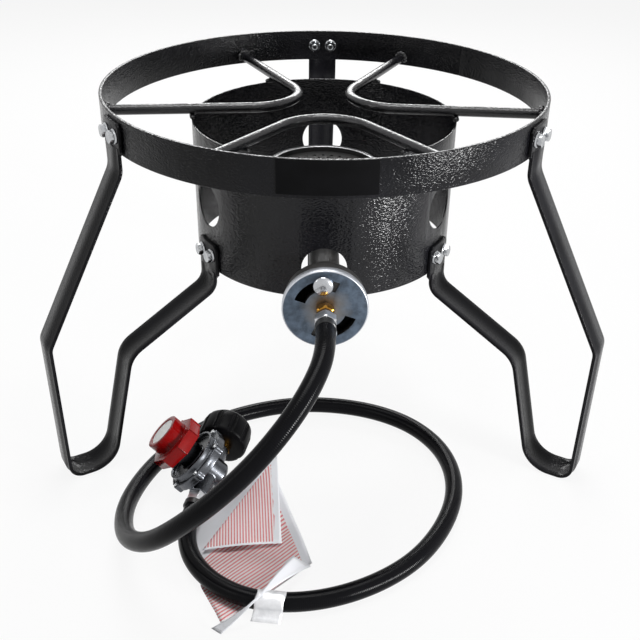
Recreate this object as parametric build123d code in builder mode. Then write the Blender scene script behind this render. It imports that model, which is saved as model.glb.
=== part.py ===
"""Bolt-together gas burner stove: a pot ring on three bent strap legs, a wind shroud, a cast burner with
an air shutter, and a supply hose that ends in a screw-set regulator with a hand nut for the gas bottle.
Drawn in millimetres about the burner axis with the floor at z = 0 and the front along -Y; save() sets
every piece down so that the middle of the stove's footprint is the origin."""
import os
from math import cos, degrees, pi, radians, sin, sqrt, tan

from build123d import *

os.makedirs("parts", exist_ok=True)

# Driving dimensions of the stand, in millimetres and degrees
STOVE_HEIGHT = 341.0
RING_OD = 406.0
RING_BAND = 31.0
RING_WALL = 3.0
SEAM_TURN = 134.0
ROD_DIA = 9.5
ROD_SPREAD = 34.5
ROD_APEX = 1.5
ROD_BEND = 46.0
ROD_LIFT = 3.0
SHROUD_OD = 245.5
SHROUD_WALL = 1.5
SHROUD_HEIGHT = 127.0
VENT_DIA = 42.0
VENT_RISE = 62.5
MOUTH_DIA = 40.0
LEG_TURNS = {"left": -60.0, "right": 60.0, "back": 180.0}
LEG_WIDTH = 30.0
LEG_STOCK = 3.0
LEG_BENDS = [20.0, 14.0, 12.0, 28.0, 26.0, 15.0]
BEAD_WIDTH = 14.0
BEAD_SLOPE = 2.5
BEAD_RISE = 1.2
TAB_WIDTH = 36.0
TAB_END = 12.0
TAB_CORNER = 4.0
RING_TAB_DROP = 16.0
SHROUD_TAB_DROP = 22.0
STRAP_LAP = 2.5
STRAP_SHORT = 1.0
TOP_DROP = 47.0
KINK_REACH = 284.0
KINK_HEIGHT = 145.0
FOOT_OUT = 282.0
FOOT_LENGTH = 43.0
INNER_REACH = 212.5
INNER_HEIGHT = 116.0
LOW_DROP = 17.5
BOLT_DIA = 6.0
BOLT_GAP = 18.0
BOLT_AF = 10.0
BOLT_HEAD = 4.0
BOLT_FLANGE = 13.0
BOLT_FLANGE_THICK = 1.4
NUT_HIGH = 4.6
BOLT_SHOWS = 2.0
LABEL_WIDTH = 77.0
LABEL_HIGH = 28.0
LABEL_THICK = 0.4
LABEL_CORNER = 0.5

# Driving dimensions of the burner and its air shutter: the venturi axis is set above the strap and the
# head above that axis
VENTURI_HEIGHT = 22.1
HEAD_OD = 108.0
HEAD_TOP = 51.0
HEAD_DEEP = 15.0
HEAD_WALL = 5.0
CAP_THICK = 5.0
CAP_SUNK = 5.0
PORT_DIA = 3.0
NECK_OD = 38.0
VENTURI_OD = 27.0
VENTURI_WALL = 3.5
BELL_START = 158.0
BELL_LENGTH = 17.0
BELL_FACE = 193.0
FACE_THICK = 5.3
SHUTTER_OD = 70.5
SHUTTER_STOCK = 1.2
SHUTTER_RIM = 7.0
SLOT_MID = 21.7
SLOT_WIDTH = 9.0
SLOT_START = 64.0
SLOT_SPAN = 97.0
SCREW_TURN = 95.0
SCREW_DIA = 5.0
SCREW_HEAD = 16.8
SCREW_DOME = 4.0
WINDOW_START = 111.0
WINDOW_SPAN = 80.0
STRAP_WIDTH = 25.0
STRAP_THICK = 3.0
STRAP_RISE = 3.0
ORIFICE_THREAD = 10.0
ORIFICE_COLLAR = 13.0
ORIFICE_AF = 14.0
ORIFICE_HEX = 15.0
ORIFICE_STUB = 7.0
COUPLING_AF = 17.0
COUPLING_HEX = 10.0
COUPLING_COLLAR = 7.7
HOSE_DIA = 16.0
HOSE_BORE = 9.5
HOSE_LEAD = 22.0
HOSE_TAIL = 18.0
HOSE_LIFT = 0.5
FOIL_SPOT = 0.882
FOIL_LENGTH = 22.0
FOIL_THICK = 0.3
TAG_THICK = 0.3
TAG_LIFT = 0.05
TAG_CORNERS = [(-106, -228), (-44, -122), (-24, -211), (-9, -262), (-85, -340), (-98, -289)]

# Driving dimensions of the regulator, along its port axis (inlet +) and its knob axis (knob +)
REG_X = -105.0
REG_Y = -161.5
PORT_TURN = 14.0
PORT_RISE = 9.5
KNOB_LEAN = 44.0
REG_FLANGE = 62.0
EAR_REACH = 33.2
EAR_DIA = 7.6
EARS = 6
EAR_SCREW = 3.0
EAR_SCREW_HEAD = 4.6
FLANGE_LOW = 10.2
FLANGE_THICK = 4.0
DIAPHRAGM_THICK = 0.8
DIAPHRAGM_DIA = 54.0
BONNET_FLANGE = 3.5
BOWL_RISE = 6.0
BOSS_DIA = 28.0
BOSS_DEEP = 13.0
INLET_REACH = 27.0
INLET_DIA = 19.6
OUTLET_REACH = 32.0
OUTLET_DIA = 19.0
NECK_DIA = 25.0
NECK_TOP = 50.0
KNOB_LOW = 35.0
WHEEL_DIA = 53.0
WHEEL_FLATS = 8
WHEEL_STEP = 1.3
WHEEL_HIGH = 12.0
CROWN_DIA = 35.5
CROWN_HIGH = 13.0
KNOB_WALL = 4.2
KNOB_TRAVEL = 5.0
INSERT_DIA = 26.0
INSERT_THICK = 1.0
ADJUST_DIA = 9.0
SPRING_WIRE = 1.8
SPRING_MEAN = 15.0
SPRING_COILS = 6.0
NUT_LOW = 32.0
NUT_LENGTH = 29.0
NUT_CORE = 45.0
NUT_LOBES = 10
NUT_LOBE_DIA = 8.0
NUT_NOTCH = 6.8
NUT_THREAD = 32.4
NUT_BACK = 6.0
NIPPLE_NECK = 19.0
NIPPLE_NOSE = 16.0
OUT_HEX = 9.5
FERRULE_DIA = 19.2
FERRULE_LENGTH = 5.0

# Clearances
SEAT = 0.1
HOLE_CLEAR = 0.3
THREAD_CLEAR = 0.05
RUN_CLEAR = 0.08
SLIDE_CLEAR = 0.15
CAP_CLEAR = 0.2
FOIL_CLEAR = 0.7
FLOOR_CLEAR = 0.3

# Sizes that follow from the driving ones
ring_out = RING_OD / 2
ring_in = ring_out - RING_WALL
ring_low = STOVE_HEIGHT - RING_BAND
ring_bolt_z = STOVE_HEIGHT - RING_BAND / 2
shroud_out = SHROUD_OD / 2
shroud_in = shroud_out - SHROUD_WALL
shroud_top = ring_low - SEAT
shroud_low = shroud_top - SHROUD_HEIGHT
shroud_bolt_z = shroud_low + BOLT_FLANGE / 2 + 8.5
rod_z = ring_low + ROD_LIFT + ROD_DIA / 2
foot_z = LEG_STOCK / 2 + BEAD_RISE
hole_r = BOLT_DIA / 2 + HOLE_CLEAR
shutter_back = BELL_FACE + SLIDE_CLEAR
shutter_front = shutter_back + SHUTTER_STOCK
orifice_hex_low = shutter_front + SLIDE_CLEAR
orifice_hex_top = orifice_hex_low + ORIFICE_HEX
coupling_low = orifice_hex_top + SEAT
hose_start = coupling_low + COUPLING_HEX + COUPLING_COLLAR
strap_low = shroud_low + STRAP_RISE
strap_top = strap_low + STRAP_THICK
venturi_z = strap_top + VENTURI_HEIGHT
head_top = venturi_z + HEAD_TOP
axis_y = (orifice_hex_top + ORIFICE_STUB - KINK_REACH - LEG_STOCK / 2 - BEAD_RISE) / 2


def outward(turn):
    """Level direction away from the burner axis; turn 0 is the front and grows towards +X."""
    return Vector(sin(radians(turn)), -cos(radians(turn)), 0)


def facing(turn, radius, height):
    """Upright plane that looks away from the burner axis, its own x level and its own y up."""
    across = Vector(cos(radians(turn)), sin(radians(turn)), 0)
    return Plane(origin=outward(turn) * radius + Vector(0, 0, height), x_dir=across, z_dir=outward(turn))


def bolt_turns(radius):
    """Directions of the pairs of bolts that hold the three legs at this radius."""
    step = degrees(BOLT_GAP / 2 / radius)
    return [turn + side for turn in LEG_TURNS.values() for side in (-step, step)]


def turned(plane, *outline):
    """Solid turned about the plane's y axis from (radius, height) corners."""
    with BuildPart() as piece:
        with BuildSketch(plane):
            with BuildLine():
                Polyline(*outline, close=True)
            make_face()
        revolve(axis=Axis(plane.origin, plane.y_dir))
    return piece.part


def wrapped_plate(turn, radius, stock, width, low, high, corner):
    """Plate that hugs a cylinder: width along the wall, from low to high, its corners cut back."""
    with BuildPart() as piece:
        with BuildSketch(facing(turn, radius - width, (low + high) / 2)) as outline:
            Rectangle(width, high - low)
            chamfer(outline.vertices(), corner)
        extrude(amount=2 * width)
        with BuildSketch(Plane.XY.offset(low)):
            Circle(radius + stock)
            Circle(radius, mode=Mode.SUBTRACT)
        extrude(amount=high - low, mode=Mode.INTERSECT)
    return piece.part


def flange_bolt(seat, length):
    """Hex bolt with a washer face; its head stands on the seat plane and its shank goes below it."""
    with BuildPart() as piece:
        with BuildSketch(seat):
            Circle(BOLT_FLANGE / 2)
        extrude(amount=BOLT_FLANGE_THICK)
        with BuildSketch(seat.offset(BOLT_FLANGE_THICK)):
            RegularPolygon(BOLT_AF / 2, 6, major_radius=False)
        extrude(amount=BOLT_HEAD)
        with BuildSketch(seat):
            Circle(BOLT_DIA / 2)
        extrude(amount=-length)
    return piece.part


def flange_nut(seat):
    """Hex nut with a washer face that hangs below the seat plane."""
    with BuildPart() as piece:
        with BuildSketch(seat):
            Circle(BOLT_FLANGE / 2)
        extrude(amount=-BOLT_FLANGE_THICK)
        with BuildSketch(seat.offset(-BOLT_FLANGE_THICK)):
            RegularPolygon(BOLT_AF / 2, 6, major_radius=False)
        extrude(amount=-NUT_HIGH)
        with BuildSketch(seat):
            Circle(BOLT_DIA / 2 + THREAD_CLEAR)
        extrude(amount=-BOLT_FLANGE_THICK - NUT_HIGH, mode=Mode.SUBTRACT)
    return piece.part


def save(piece, name):
    """Name a finished piece, set it down about the middle of the footprint and write it."""
    solid = piece.part.moved(Location((0, axis_y, 0)))
    solid.label = name
    export_step(solid, f"parts/{name}.step")


# Pot ring: a rolled flat band, drilled for the legs, with the groove of its seam at the back right
with BuildPart() as pot_ring:
    with BuildSketch(Plane.XY.offset(ring_low)):
        Circle(ring_out)
        Circle(ring_in, mode=Mode.SUBTRACT)
    extrude(amount=RING_BAND)
    for turn in bolt_turns(ring_out):
        with BuildSketch(facing(turn, ring_in - RING_WALL, ring_bolt_z)):
            Circle(hole_r)
        extrude(amount=3 * RING_WALL, mode=Mode.SUBTRACT)
    for radius in (ring_in, ring_out):
        with BuildSketch(facing(SEAM_TURN, radius, ring_bolt_z)):
            Rectangle(RING_WALL / 3, RING_BAND)
        extrude(amount=RING_WALL / 4, both=True, mode=Mode.SUBTRACT)
save(pot_ring, "pot_ring")

# Pot rods: three bent round bars whose ends meet the band and whose bends point at the burner
rod_out = ring_in + ROD_DIA / 2
for name, turn in (("front", 0.0), ("right", 120.0), ("left", -120.0)):
    with BuildPart() as pot_rod:
        flat = Plane(origin=(0, 0, rod_z), x_dir=outward(turn), z_dir=(0, 0, 1))
        with BuildLine(flat) as path:
            end_x = rod_out * cos(radians(ROD_SPREAD))
            end_y = rod_out * sin(radians(ROD_SPREAD))
            FilletPolyline((end_x, -end_y), (ROD_APEX, 0), (end_x, end_y), radius=ROD_BEND)
        with BuildSketch(Plane(origin=path.line @ 0, z_dir=path.line % 0)):
            Circle(ROD_DIA / 2)
        sweep()
        with BuildSketch(Plane.XY.offset(rod_z - ROD_DIA)):
            Circle(ring_in - SEAT)
        extrude(amount=2 * ROD_DIA, mode=Mode.INTERSECT)
    save(pot_rod, f"pot_rod_{name}")

# Blank plate stuck on the front of the band
with BuildPart() as ring_label:
    label_low = STOVE_HEIGHT - LABEL_HIGH
    label_in = ring_out + SEAT / 2
    add(wrapped_plate(0, label_in, LABEL_THICK, LABEL_WIDTH, label_low, STOVE_HEIGHT, LABEL_CORNER))
save(ring_label, "ring_label")

# Wind shroud: rolled sheet with three air holes over the legs and one in front for the burner tube
with BuildPart() as wind_shroud:
    with BuildSketch(Plane.XY.offset(shroud_low)):
        Circle(shroud_out)
        Circle(shroud_in, mode=Mode.SUBTRACT)
    extrude(amount=SHROUD_HEIGHT)
    for turn in LEG_TURNS.values():
        with BuildSketch(facing(turn, shroud_out / 2, shroud_low + VENT_RISE)):
            Circle(VENT_DIA / 2)
        extrude(amount=shroud_out, mode=Mode.SUBTRACT)
    with BuildSketch(facing(0, shroud_out / 2, venturi_z)):
        Circle(MOUTH_DIA / 2)
    extrude(amount=shroud_out, mode=Mode.SUBTRACT)
    for turn in bolt_turns(shroud_out):
        with BuildSketch(facing(turn, shroud_in - 5 * SHROUD_WALL, shroud_bolt_z)):
            Circle(hole_r)
        extrude(amount=10 * SHROUD_WALL, mode=Mode.SUBTRACT)
save(wind_shroud, "wind_shroud")

# Legs: one beaded strap each, bent from a tab on the ring down to the foot and back up to the shroud
ring_tab = ring_out + SEAT
shroud_tab = shroud_out + SEAT
leg_path = [
    (ring_tab + LEG_STOCK / 2, ring_bolt_z - BOLT_FLANGE / 2 - STRAP_LAP),
    (ring_tab + LEG_STOCK / 2, STOVE_HEIGHT - TOP_DROP),
    (KINK_REACH, KINK_HEIGHT),
    (FOOT_OUT, foot_z),
    (FOOT_OUT - FOOT_LENGTH, foot_z),
    (INNER_REACH, INNER_HEIGHT),
    (shroud_tab + LEG_STOCK / 2, shroud_low - LOW_DROP),
    (shroud_tab + LEG_STOCK / 2, shroud_low - STRAP_SHORT),
]
half = LEG_STOCK / 2
crest = BEAD_WIDTH / 2
slope = crest + BEAD_SLOPE
leg_section = [
    (-LEG_WIDTH / 2, half),
    (-slope, half),
    (-crest, half + BEAD_RISE),
    (crest, half + BEAD_RISE),
    (slope, half),
    (LEG_WIDTH / 2, half),
    (LEG_WIDTH / 2, -half),
    (slope, -half),
    (crest, BEAD_RISE - half),
    (-crest, BEAD_RISE - half),
    (-slope, -half),
    (-LEG_WIDTH / 2, -half),
]
for name, turn in LEG_TURNS.items():
    across = facing(turn, 0, 0).x_dir
    with BuildPart() as leg:
        with BuildLine(Plane(origin=(0, 0, 0), x_dir=outward(turn), z_dir=-across)) as path:
            FilletPolyline(*leg_path, radius=LEG_BENDS)
        with BuildSketch(Plane(origin=path.line @ 0, x_dir=across, z_dir=path.line % 0)):
            with BuildLine():
                Polyline(*leg_section, close=True)
            make_face()
        sweep()
        for radius, height, drop in (
            (ring_tab, ring_bolt_z, RING_TAB_DROP),
            (shroud_tab, shroud_bolt_z, SHROUD_TAB_DROP),
        ):
            low, high = height - drop, height + TAB_END
            add(wrapped_plate(turn, radius, LEG_STOCK, TAB_WIDTH, low, high, TAB_CORNER))
        for radius, height in ((ring_out, ring_bolt_z), (shroud_out, shroud_bolt_z)):
            step = degrees(BOLT_GAP / 2 / radius)
            for side in (-step, step):
                with BuildSketch(facing(turn + side, radius - LEG_STOCK, height)):
                    Circle(hole_r)
                extrude(amount=4 * LEG_STOCK, mode=Mode.SUBTRACT)
    save(leg, f"leg_{name}")

# Leg bolts and nuts: heads outside on the tabs, nuts inside the band and the shroud
for name, out, wall, height in (
    ("ring", ring_out, RING_WALL, ring_bolt_z),
    ("shroud", shroud_out, SHROUD_WALL, shroud_bolt_z),
):
    head_r = out + SEAT + LEG_STOCK
    nut_r = sqrt((out - wall) ** 2 - (BOLT_FLANGE / 2) ** 2) - SEAT
    reach = head_r - nut_r + BOLT_FLANGE_THICK + NUT_HIGH + BOLT_SHOWS
    bolts = [flange_bolt(facing(turn, head_r, height), reach) for turn in bolt_turns(out)]
    nuts = [flange_nut(facing(turn, nut_r, height)) for turn in bolt_turns(out)]
    with BuildPart() as bolt_set:
        for piece in bolts:
            add(piece)
    with BuildPart() as nut_set:
        for piece in nuts:
            add(piece)
    save(bolt_set, f"{name}_bolts")
    save(nut_set, f"{name}_nuts")

# Burner strap: flat bar across the shroud that carries the burner
with BuildPart() as burner_strap:
    with BuildSketch(Plane.XY.offset(strap_low)):
        Rectangle(SHROUD_OD, STRAP_WIDTH)
        Circle(shroud_in - SEAT, mode=Mode.INTERSECT)
        Circle(hole_r, mode=Mode.SUBTRACT)
    extrude(amount=STRAP_THICK)
save(burner_strap, "burner_strap")

# Burner casting: open head on a neck, foot boss below, venturi tube to the front with a mixer bell
venturi = Plane(origin=(0, 0, venturi_z), x_dir=(0, 0, 1), z_dir=(1, 0, 0))
bell_front = Plane(origin=(0, -BELL_FACE, venturi_z), x_dir=(1, 0, 0), z_dir=(0, -1, 0))
head_r = HEAD_OD / 2
neck_r = NECK_OD / 2
tube_r = VENTURI_OD / 2
bore_r = tube_r - VENTURI_WALL
bell_r = SHUTTER_OD / 2 - SHUTTER_STOCK - 2 * HOLE_CLEAR
elbow_low = venturi_z - tube_r - 2.0
cap_low = head_top - CAP_SUNK - CAP_THICK
head_shelf = head_top - HEAD_DEEP
boss_back = BELL_FACE - FACE_THICK - 9.0


def arc_slot(start, span, depth):
    """Square-ended slot bent about the venturi axis, cut from the bell's face by this depth."""
    first = radians(start)
    last = radians(start + span)
    far = 3 * SLOT_MID
    with BuildPart() as piece:
        with BuildSketch(bell_front):
            Circle(SLOT_MID + SLOT_WIDTH / 2)
            Circle(SLOT_MID - SLOT_WIDTH / 2, mode=Mode.SUBTRACT)
            Polygon(
                (0, 0),
                (far * cos(first), far * sin(first)),
                (far * cos((first + last) / 2), far * sin((first + last) / 2)),
                (far * cos(last), far * sin(last)),
                align=None,
                mode=Mode.INTERSECT,
            )
        extrude(amount=depth)
    return piece.part


with BuildPart() as burner_casting:
    add(turned(
        Plane.XZ,
        (0, strap_top),
        (neck_r / 2, strap_top),
        (neck_r / 2, elbow_low),
        (neck_r, elbow_low),
        (neck_r, venturi_z + tube_r),
        (head_r - 8, head_shelf - 8),
        (head_r, head_shelf),
        (head_r, head_top),
        (0, head_top),
    ))
    add(turned(
        venturi,
        (0, 0),
        (tube_r, 0),
        (tube_r, BELL_START),
        (bell_r, BELL_START + BELL_LENGTH),
        (bell_r, BELL_FACE),
        (0, BELL_FACE),
    ))
    add(turned(
        Plane.XZ,
        (0, venturi_z - bore_r + 1),
        (neck_r - 7, venturi_z - bore_r + 1),
        (neck_r - 7, venturi_z + tube_r + 4),
        (head_r - 10, head_shelf - 3),
        (head_r - 10, cap_low),
        (head_r - HEAD_WALL, cap_low),
        (head_r - HEAD_WALL, head_top + 1),
        (0, head_top + 1),
    ), mode=Mode.SUBTRACT)
    add(turned(
        venturi,
        (0, 0),
        (bore_r, 0),
        (bore_r, BELL_START + 2),
        (bell_r - 5, BELL_START + BELL_LENGTH + 2),
        (bell_r - 5, BELL_FACE - FACE_THICK),
        (0, BELL_FACE - FACE_THICK),
    ), mode=Mode.SUBTRACT)
    add(turned(
        venturi,
        (0, boss_back),
        (ORIFICE_THREAD / 2 + 4, boss_back),
        (ORIFICE_THREAD / 2 + 4, BELL_FACE),
        (0, BELL_FACE),
    ))
    add(turned(
        venturi,
        (0, boss_back - 1),
        (ORIFICE_THREAD / 2 + THREAD_CLEAR, boss_back - 1),
        (ORIFICE_THREAD / 2 + THREAD_CLEAR, BELL_FACE + 1),
        (0, BELL_FACE + 1),
    ), mode=Mode.SUBTRACT)
    for half_turn in (0, 180):
        add(arc_slot(WINDOW_START + half_turn, WINDOW_SPAN, -2 * FACE_THICK), mode=Mode.SUBTRACT)
    with BuildSketch(bell_front):
        with PolarLocations(SLOT_MID, 2, start_angle=SCREW_TURN):
            Circle(SCREW_DIA / 2 + THREAD_CLEAR)
    extrude(amount=-FACE_THICK - 1, mode=Mode.SUBTRACT)
    with BuildSketch(Plane.XY.offset(strap_top)):
        Circle(hole_r)
    extrude(amount=venturi_z - strap_top, mode=Mode.SUBTRACT)
save(burner_casting, "burner_casting")

# Burner cap: drilled port plate that drops into the head, and the long bolt that clamps the stack
with BuildPart() as burner_cap:
    with BuildSketch(Plane.XY.offset(cap_low)):
        Circle(head_r - HEAD_WALL - CAP_CLEAR)
        Circle(hole_r, mode=Mode.SUBTRACT)
        for radius, count in ((14.0, 10), (22.0, 16), (30.0, 22), (38.0, 28)):
            with PolarLocations(radius, count):
                Circle(PORT_DIA / 2, mode=Mode.SUBTRACT)
    extrude(amount=CAP_THICK)
save(burner_cap, "burner_cap")

cap_top = cap_low + CAP_THICK
stack = cap_top - strap_low + BOLT_FLANGE_THICK + NUT_HIGH + BOLT_SHOWS
with BuildPart() as burner_bolt:
    add(flange_bolt(Plane.XY.offset(cap_top), stack))
save(burner_bolt, "burner_bolt")
with BuildPart() as burner_nut:
    add(flange_nut(Plane.XY.offset(strap_low)))
save(burner_nut, "burner_nut")

# Air shutter: pressed cup that turns on the orifice fitting in front of the bell
shutter_r = SHUTTER_OD / 2
with BuildPart() as air_shutter:
    add(turned(
        venturi,
        (ORIFICE_COLLAR / 2 + RUN_CLEAR, shutter_back),
        (shutter_r - SHUTTER_STOCK, shutter_back),
        (shutter_r - SHUTTER_STOCK, shutter_front - SHUTTER_RIM),
        (shutter_r, shutter_front - SHUTTER_RIM),
        (shutter_r, shutter_front - SHUTTER_STOCK),
        (shutter_r - SHUTTER_STOCK / 2, shutter_front),
        (ORIFICE_COLLAR / 2 + RUN_CLEAR, shutter_front),
    ))
    for half_turn in (0, 180):
        add(arc_slot(SLOT_START + half_turn, SLOT_SPAN, 2 * SHUTTER_STOCK), mode=Mode.SUBTRACT)
save(air_shutter, "air_shutter")

# Shutter screws: dome heads over the two slots, threaded into the bell
head_back = shutter_front + SLIDE_CLEAR
shutter_screw = turned(
    venturi,
    (0, head_back - 8.0),
    (SCREW_DIA / 2, head_back - 8.0),
    (SCREW_DIA / 2, head_back),
    (SCREW_HEAD / 2, head_back),
    (SCREW_HEAD / 2, head_back + SCREW_DOME * 0.2),
    (SCREW_HEAD * 0.42, head_back + SCREW_DOME * 0.55),
    (SCREW_HEAD * 0.28, head_back + SCREW_DOME * 0.84),
    (SCREW_HEAD * 0.12, head_back + SCREW_DOME * 0.98),
    (0, head_back + SCREW_DOME),
)
with BuildPart() as shutter_screws:
    for half_turn in (0, 180):
        spot = radians(SCREW_TURN + half_turn)
        add(shutter_screw.moved(Location((SLOT_MID * cos(spot), 0, SLOT_MID * sin(spot)))))
save(shutter_screws, "shutter_screws")

# Orifice fitting: brass spud through the shutter, hex in front, stub for the hose coupling
thread_r = ORIFICE_THREAD / 2
with BuildPart() as orifice_fitting:
    add(turned(
        venturi,
        (0, boss_back - 6),
        (2.5, boss_back - 6),
        (thread_r, boss_back - 2),
        (thread_r, BELL_FACE + SEAT),
        (ORIFICE_COLLAR / 2, BELL_FACE + SEAT),
        (ORIFICE_COLLAR / 2, orifice_hex_low),
        (thread_r, orifice_hex_low),
        (thread_r, orifice_hex_top + ORIFICE_STUB),
        (0, orifice_hex_top + ORIFICE_STUB),
    ))
    with BuildSketch(bell_front.offset(orifice_hex_low - BELL_FACE)):
        RegularPolygon(ORIFICE_AF / 2, 6, major_radius=False)
    extrude(amount=ORIFICE_HEX)
    add(turned(
        venturi,
        (0, boss_back - 7),
        (0.8, boss_back - 7),
        (0.8, boss_back - 4),
        (2.5, boss_back),
        (2.5, orifice_hex_top + ORIFICE_STUB + 1),
        (0, orifice_hex_top + ORIFICE_STUB + 1),
    ), mode=Mode.SUBTRACT)
save(orifice_fitting, "orifice_fitting")

# Hose coupling at the burner: plated hex nut with the collar that the hose is crimped to
with BuildPart() as hose_coupling:
    with BuildSketch(bell_front.offset(coupling_low - BELL_FACE)):
        RegularPolygon(COUPLING_AF / 2, 6, major_radius=False)
    extrude(amount=COUPLING_HEX)
    with BuildSketch(bell_front.offset(coupling_low + COUPLING_HEX - BELL_FACE)):
        Circle(HOSE_DIA / 2 + 1.2)
    extrude(amount=COUPLING_COLLAR)
    add(turned(
        venturi,
        (0, coupling_low),
        (thread_r + THREAD_CLEAR, coupling_low),
        (thread_r + THREAD_CLEAR, coupling_low + ORIFICE_STUB + SEAT),
        (2.5, coupling_low + ORIFICE_STUB + 2),
        (2.5, hose_start),
        (0, hose_start),
    ), mode=Mode.SUBTRACT)
save(hose_coupling, "hose_coupling")

# Regulator frame: port axis along x, knob axis along z, low enough that it lies on the floor
port_dir = Vector(0, 1, 0).rotate(Axis.X, PORT_RISE).rotate(Axis.Z, -PORT_TURN)
level = Plane(origin=(0, 0, 0), x_dir=port_dir, z_dir=Vector(0, 0, 1) - port_dir * port_dir.Z)
knob_dir = level.z_dir * cos(radians(KNOB_LEAN)) + level.y_dir * sin(radians(KNOB_LEAN))
nut_r = NUT_CORE / 2
lobe_r = nut_r + NUT_LOBE_DIA / 4
nut_drop = lobe_r * cos(radians(PORT_RISE)) - NUT_LOW * sin(radians(PORT_RISE))
ear_drop = EAR_REACH * sqrt(1 - knob_dir.Z ** 2) - FLANGE_LOW * knob_dir.Z
boss_drop = BOSS_DEEP * knob_dir.Z + (BOSS_DIA / 2 - 3) * sqrt(1 - knob_dir.Z ** 2)
reg_z = max(nut_drop, ear_drop, boss_drop) + FLOOR_CLEAR
reg = Plane(origin=(REG_X, REG_Y, reg_z), x_dir=port_dir, z_dir=knob_dir)
knob_axis = Plane(origin=reg.origin, x_dir=reg.x_dir, z_dir=-reg.y_dir)
port_axis = Plane(origin=reg.origin, x_dir=reg.z_dir, z_dir=reg.y_dir)
across_port = Plane(origin=reg.origin, x_dir=reg.z_dir, z_dir=reg.x_dir)
flange_r = REG_FLANGE / 2
ear_ring = EAR_REACH - EAR_DIA / 2
body_top = FLANGE_LOW + FLANGE_THICK
bonnet_low = body_top + DIAPHRAGM_THICK
bonnet_top = bonnet_low + BONNET_FLANGE
bowl_floor = bonnet_top + 2.0
bowl_r = ear_ring - EAR_SCREW_HEAD / 2 - HOLE_CLEAR
chamber_r = SPRING_MEAN / 2 + SPRING_WIRE / 2 + 2.0
ear_start = 180 / EARS

# Regulator body: lower casting with the diaphragm cup, inlet and outlet bosses and the valve pocket
with BuildPart() as regulator_body:
    add(turned(
        knob_axis,
        (0, -BOSS_DEEP),
        (BOSS_DIA / 2 - 3, -BOSS_DEEP),
        (BOSS_DIA / 2, -BOSS_DEEP + 3),
        (BOSS_DIA / 2, FLANGE_LOW - 4),
        (flange_r - 8, FLANGE_LOW),
        (flange_r, FLANGE_LOW),
        (flange_r, body_top),
        (0, body_top),
    ))
    with BuildSketch(reg.offset(FLANGE_LOW)):
        with PolarLocations(ear_ring, EARS, start_angle=ear_start):
            Circle(EAR_DIA / 2)
    extrude(amount=FLANGE_THICK)
    with BuildSketch(across_port):
        Circle(INLET_DIA / 2)
    extrude(amount=INLET_REACH)
    with BuildSketch(across_port):
        Circle(OUTLET_DIA / 2)
    extrude(amount=-OUTLET_REACH)
    with BuildSketch(reg.offset(body_top)):
        Circle(flange_r - 7)
    extrude(amount=-2.5, mode=Mode.SUBTRACT)
    with BuildSketch(reg.offset(body_top)):
        Circle(5.0)
    extrude(amount=-body_top - 1, mode=Mode.SUBTRACT)
    with BuildSketch(reg.offset(-0.5)):
        Circle(2.4)
    extrude(amount=-5.0, mode=Mode.SUBTRACT)
    with BuildSketch(reg.offset(-4.0)):
        Circle(4.6)
    extrude(amount=-BOSS_DEEP + 6.0, mode=Mode.SUBTRACT)
    with BuildSketch(across_port.offset(INLET_REACH)):
        Circle(6.5)
    extrude(amount=-13.0, mode=Mode.SUBTRACT)
    with BuildSketch(Plane(origin=reg.from_local_coords((0, 0, -4.5)), x_dir=reg.z_dir, z_dir=reg.x_dir)):
        Circle(1.5)
    extrude(amount=INLET_REACH - 12, mode=Mode.SUBTRACT)
    with BuildSketch(across_port.offset(-OUTLET_REACH)):
        Circle(5.5)
    extrude(amount=11.0, mode=Mode.SUBTRACT)
    with BuildSketch(Plane(origin=reg.from_local_coords((0, 0, 3)), x_dir=reg.z_dir, z_dir=reg.x_dir)):
        Circle(2.0)
    extrude(amount=-OUTLET_REACH + 10, mode=Mode.SUBTRACT)
    with BuildSketch(reg.offset(body_top)):
        with PolarLocations(ear_ring, EARS, start_angle=ear_start):
            Circle(EAR_SCREW / 2 + THREAD_CLEAR)
    extrude(amount=-FLANGE_THICK, mode=Mode.SUBTRACT)
save(regulator_body, "regulator_body")

# Regulator bonnet: upper casting, an open bowl around the neck that holds the setting spring
with BuildPart() as regulator_bonnet:
    add(turned(
        knob_axis,
        (flange_r - 11, bonnet_low),
        (flange_r, bonnet_low),
        (flange_r, bonnet_top),
        (bowl_r, bonnet_top),
        (bowl_r, bonnet_top + BOWL_RISE),
        (bowl_r - 1.8, bonnet_top + BOWL_RISE),
        (bowl_r - 2.6, bowl_floor),
        (NECK_DIA / 2 + 1, bowl_floor),
        (NECK_DIA / 2, bowl_floor + 1),
        (NECK_DIA / 2, NECK_TOP),
        (ADJUST_DIA / 2, NECK_TOP),
        (ADJUST_DIA / 2, NECK_TOP - 3),
        (chamber_r, NECK_TOP - 3),
        (chamber_r, bonnet_top),
        (flange_r - 11, bonnet_top - 1),
    ))
    with BuildSketch(reg.offset(bonnet_low)):
        with PolarLocations(ear_ring, EARS, start_angle=ear_start):
            Circle(EAR_DIA / 2)
    extrude(amount=BONNET_FLANGE)
    with BuildSketch(reg.offset(bonnet_low)):
        with PolarLocations(ear_ring, EARS, start_angle=ear_start):
            Circle(EAR_SCREW / 2 + HOLE_CLEAR)
    extrude(amount=BONNET_FLANGE, mode=Mode.SUBTRACT)
save(regulator_bonnet, "regulator_bonnet")

# Bonnet screws: small pan heads on the ears
with BuildPart() as bonnet_screws:
    with BuildSketch(reg.offset(bonnet_top)):
        with PolarLocations(ear_ring, EARS, start_angle=ear_start):
            Circle(EAR_SCREW / 2)
    extrude(amount=-BONNET_FLANGE - DIAPHRAGM_THICK - FLANGE_THICK + 1)
    with BuildSketch(reg.offset(bonnet_top)):
        with PolarLocations(ear_ring, EARS, start_angle=ear_start):
            Circle(EAR_SCREW_HEAD / 2)
    extrude(amount=2.2)
save(bonnet_screws, "bonnet_screws")

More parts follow.
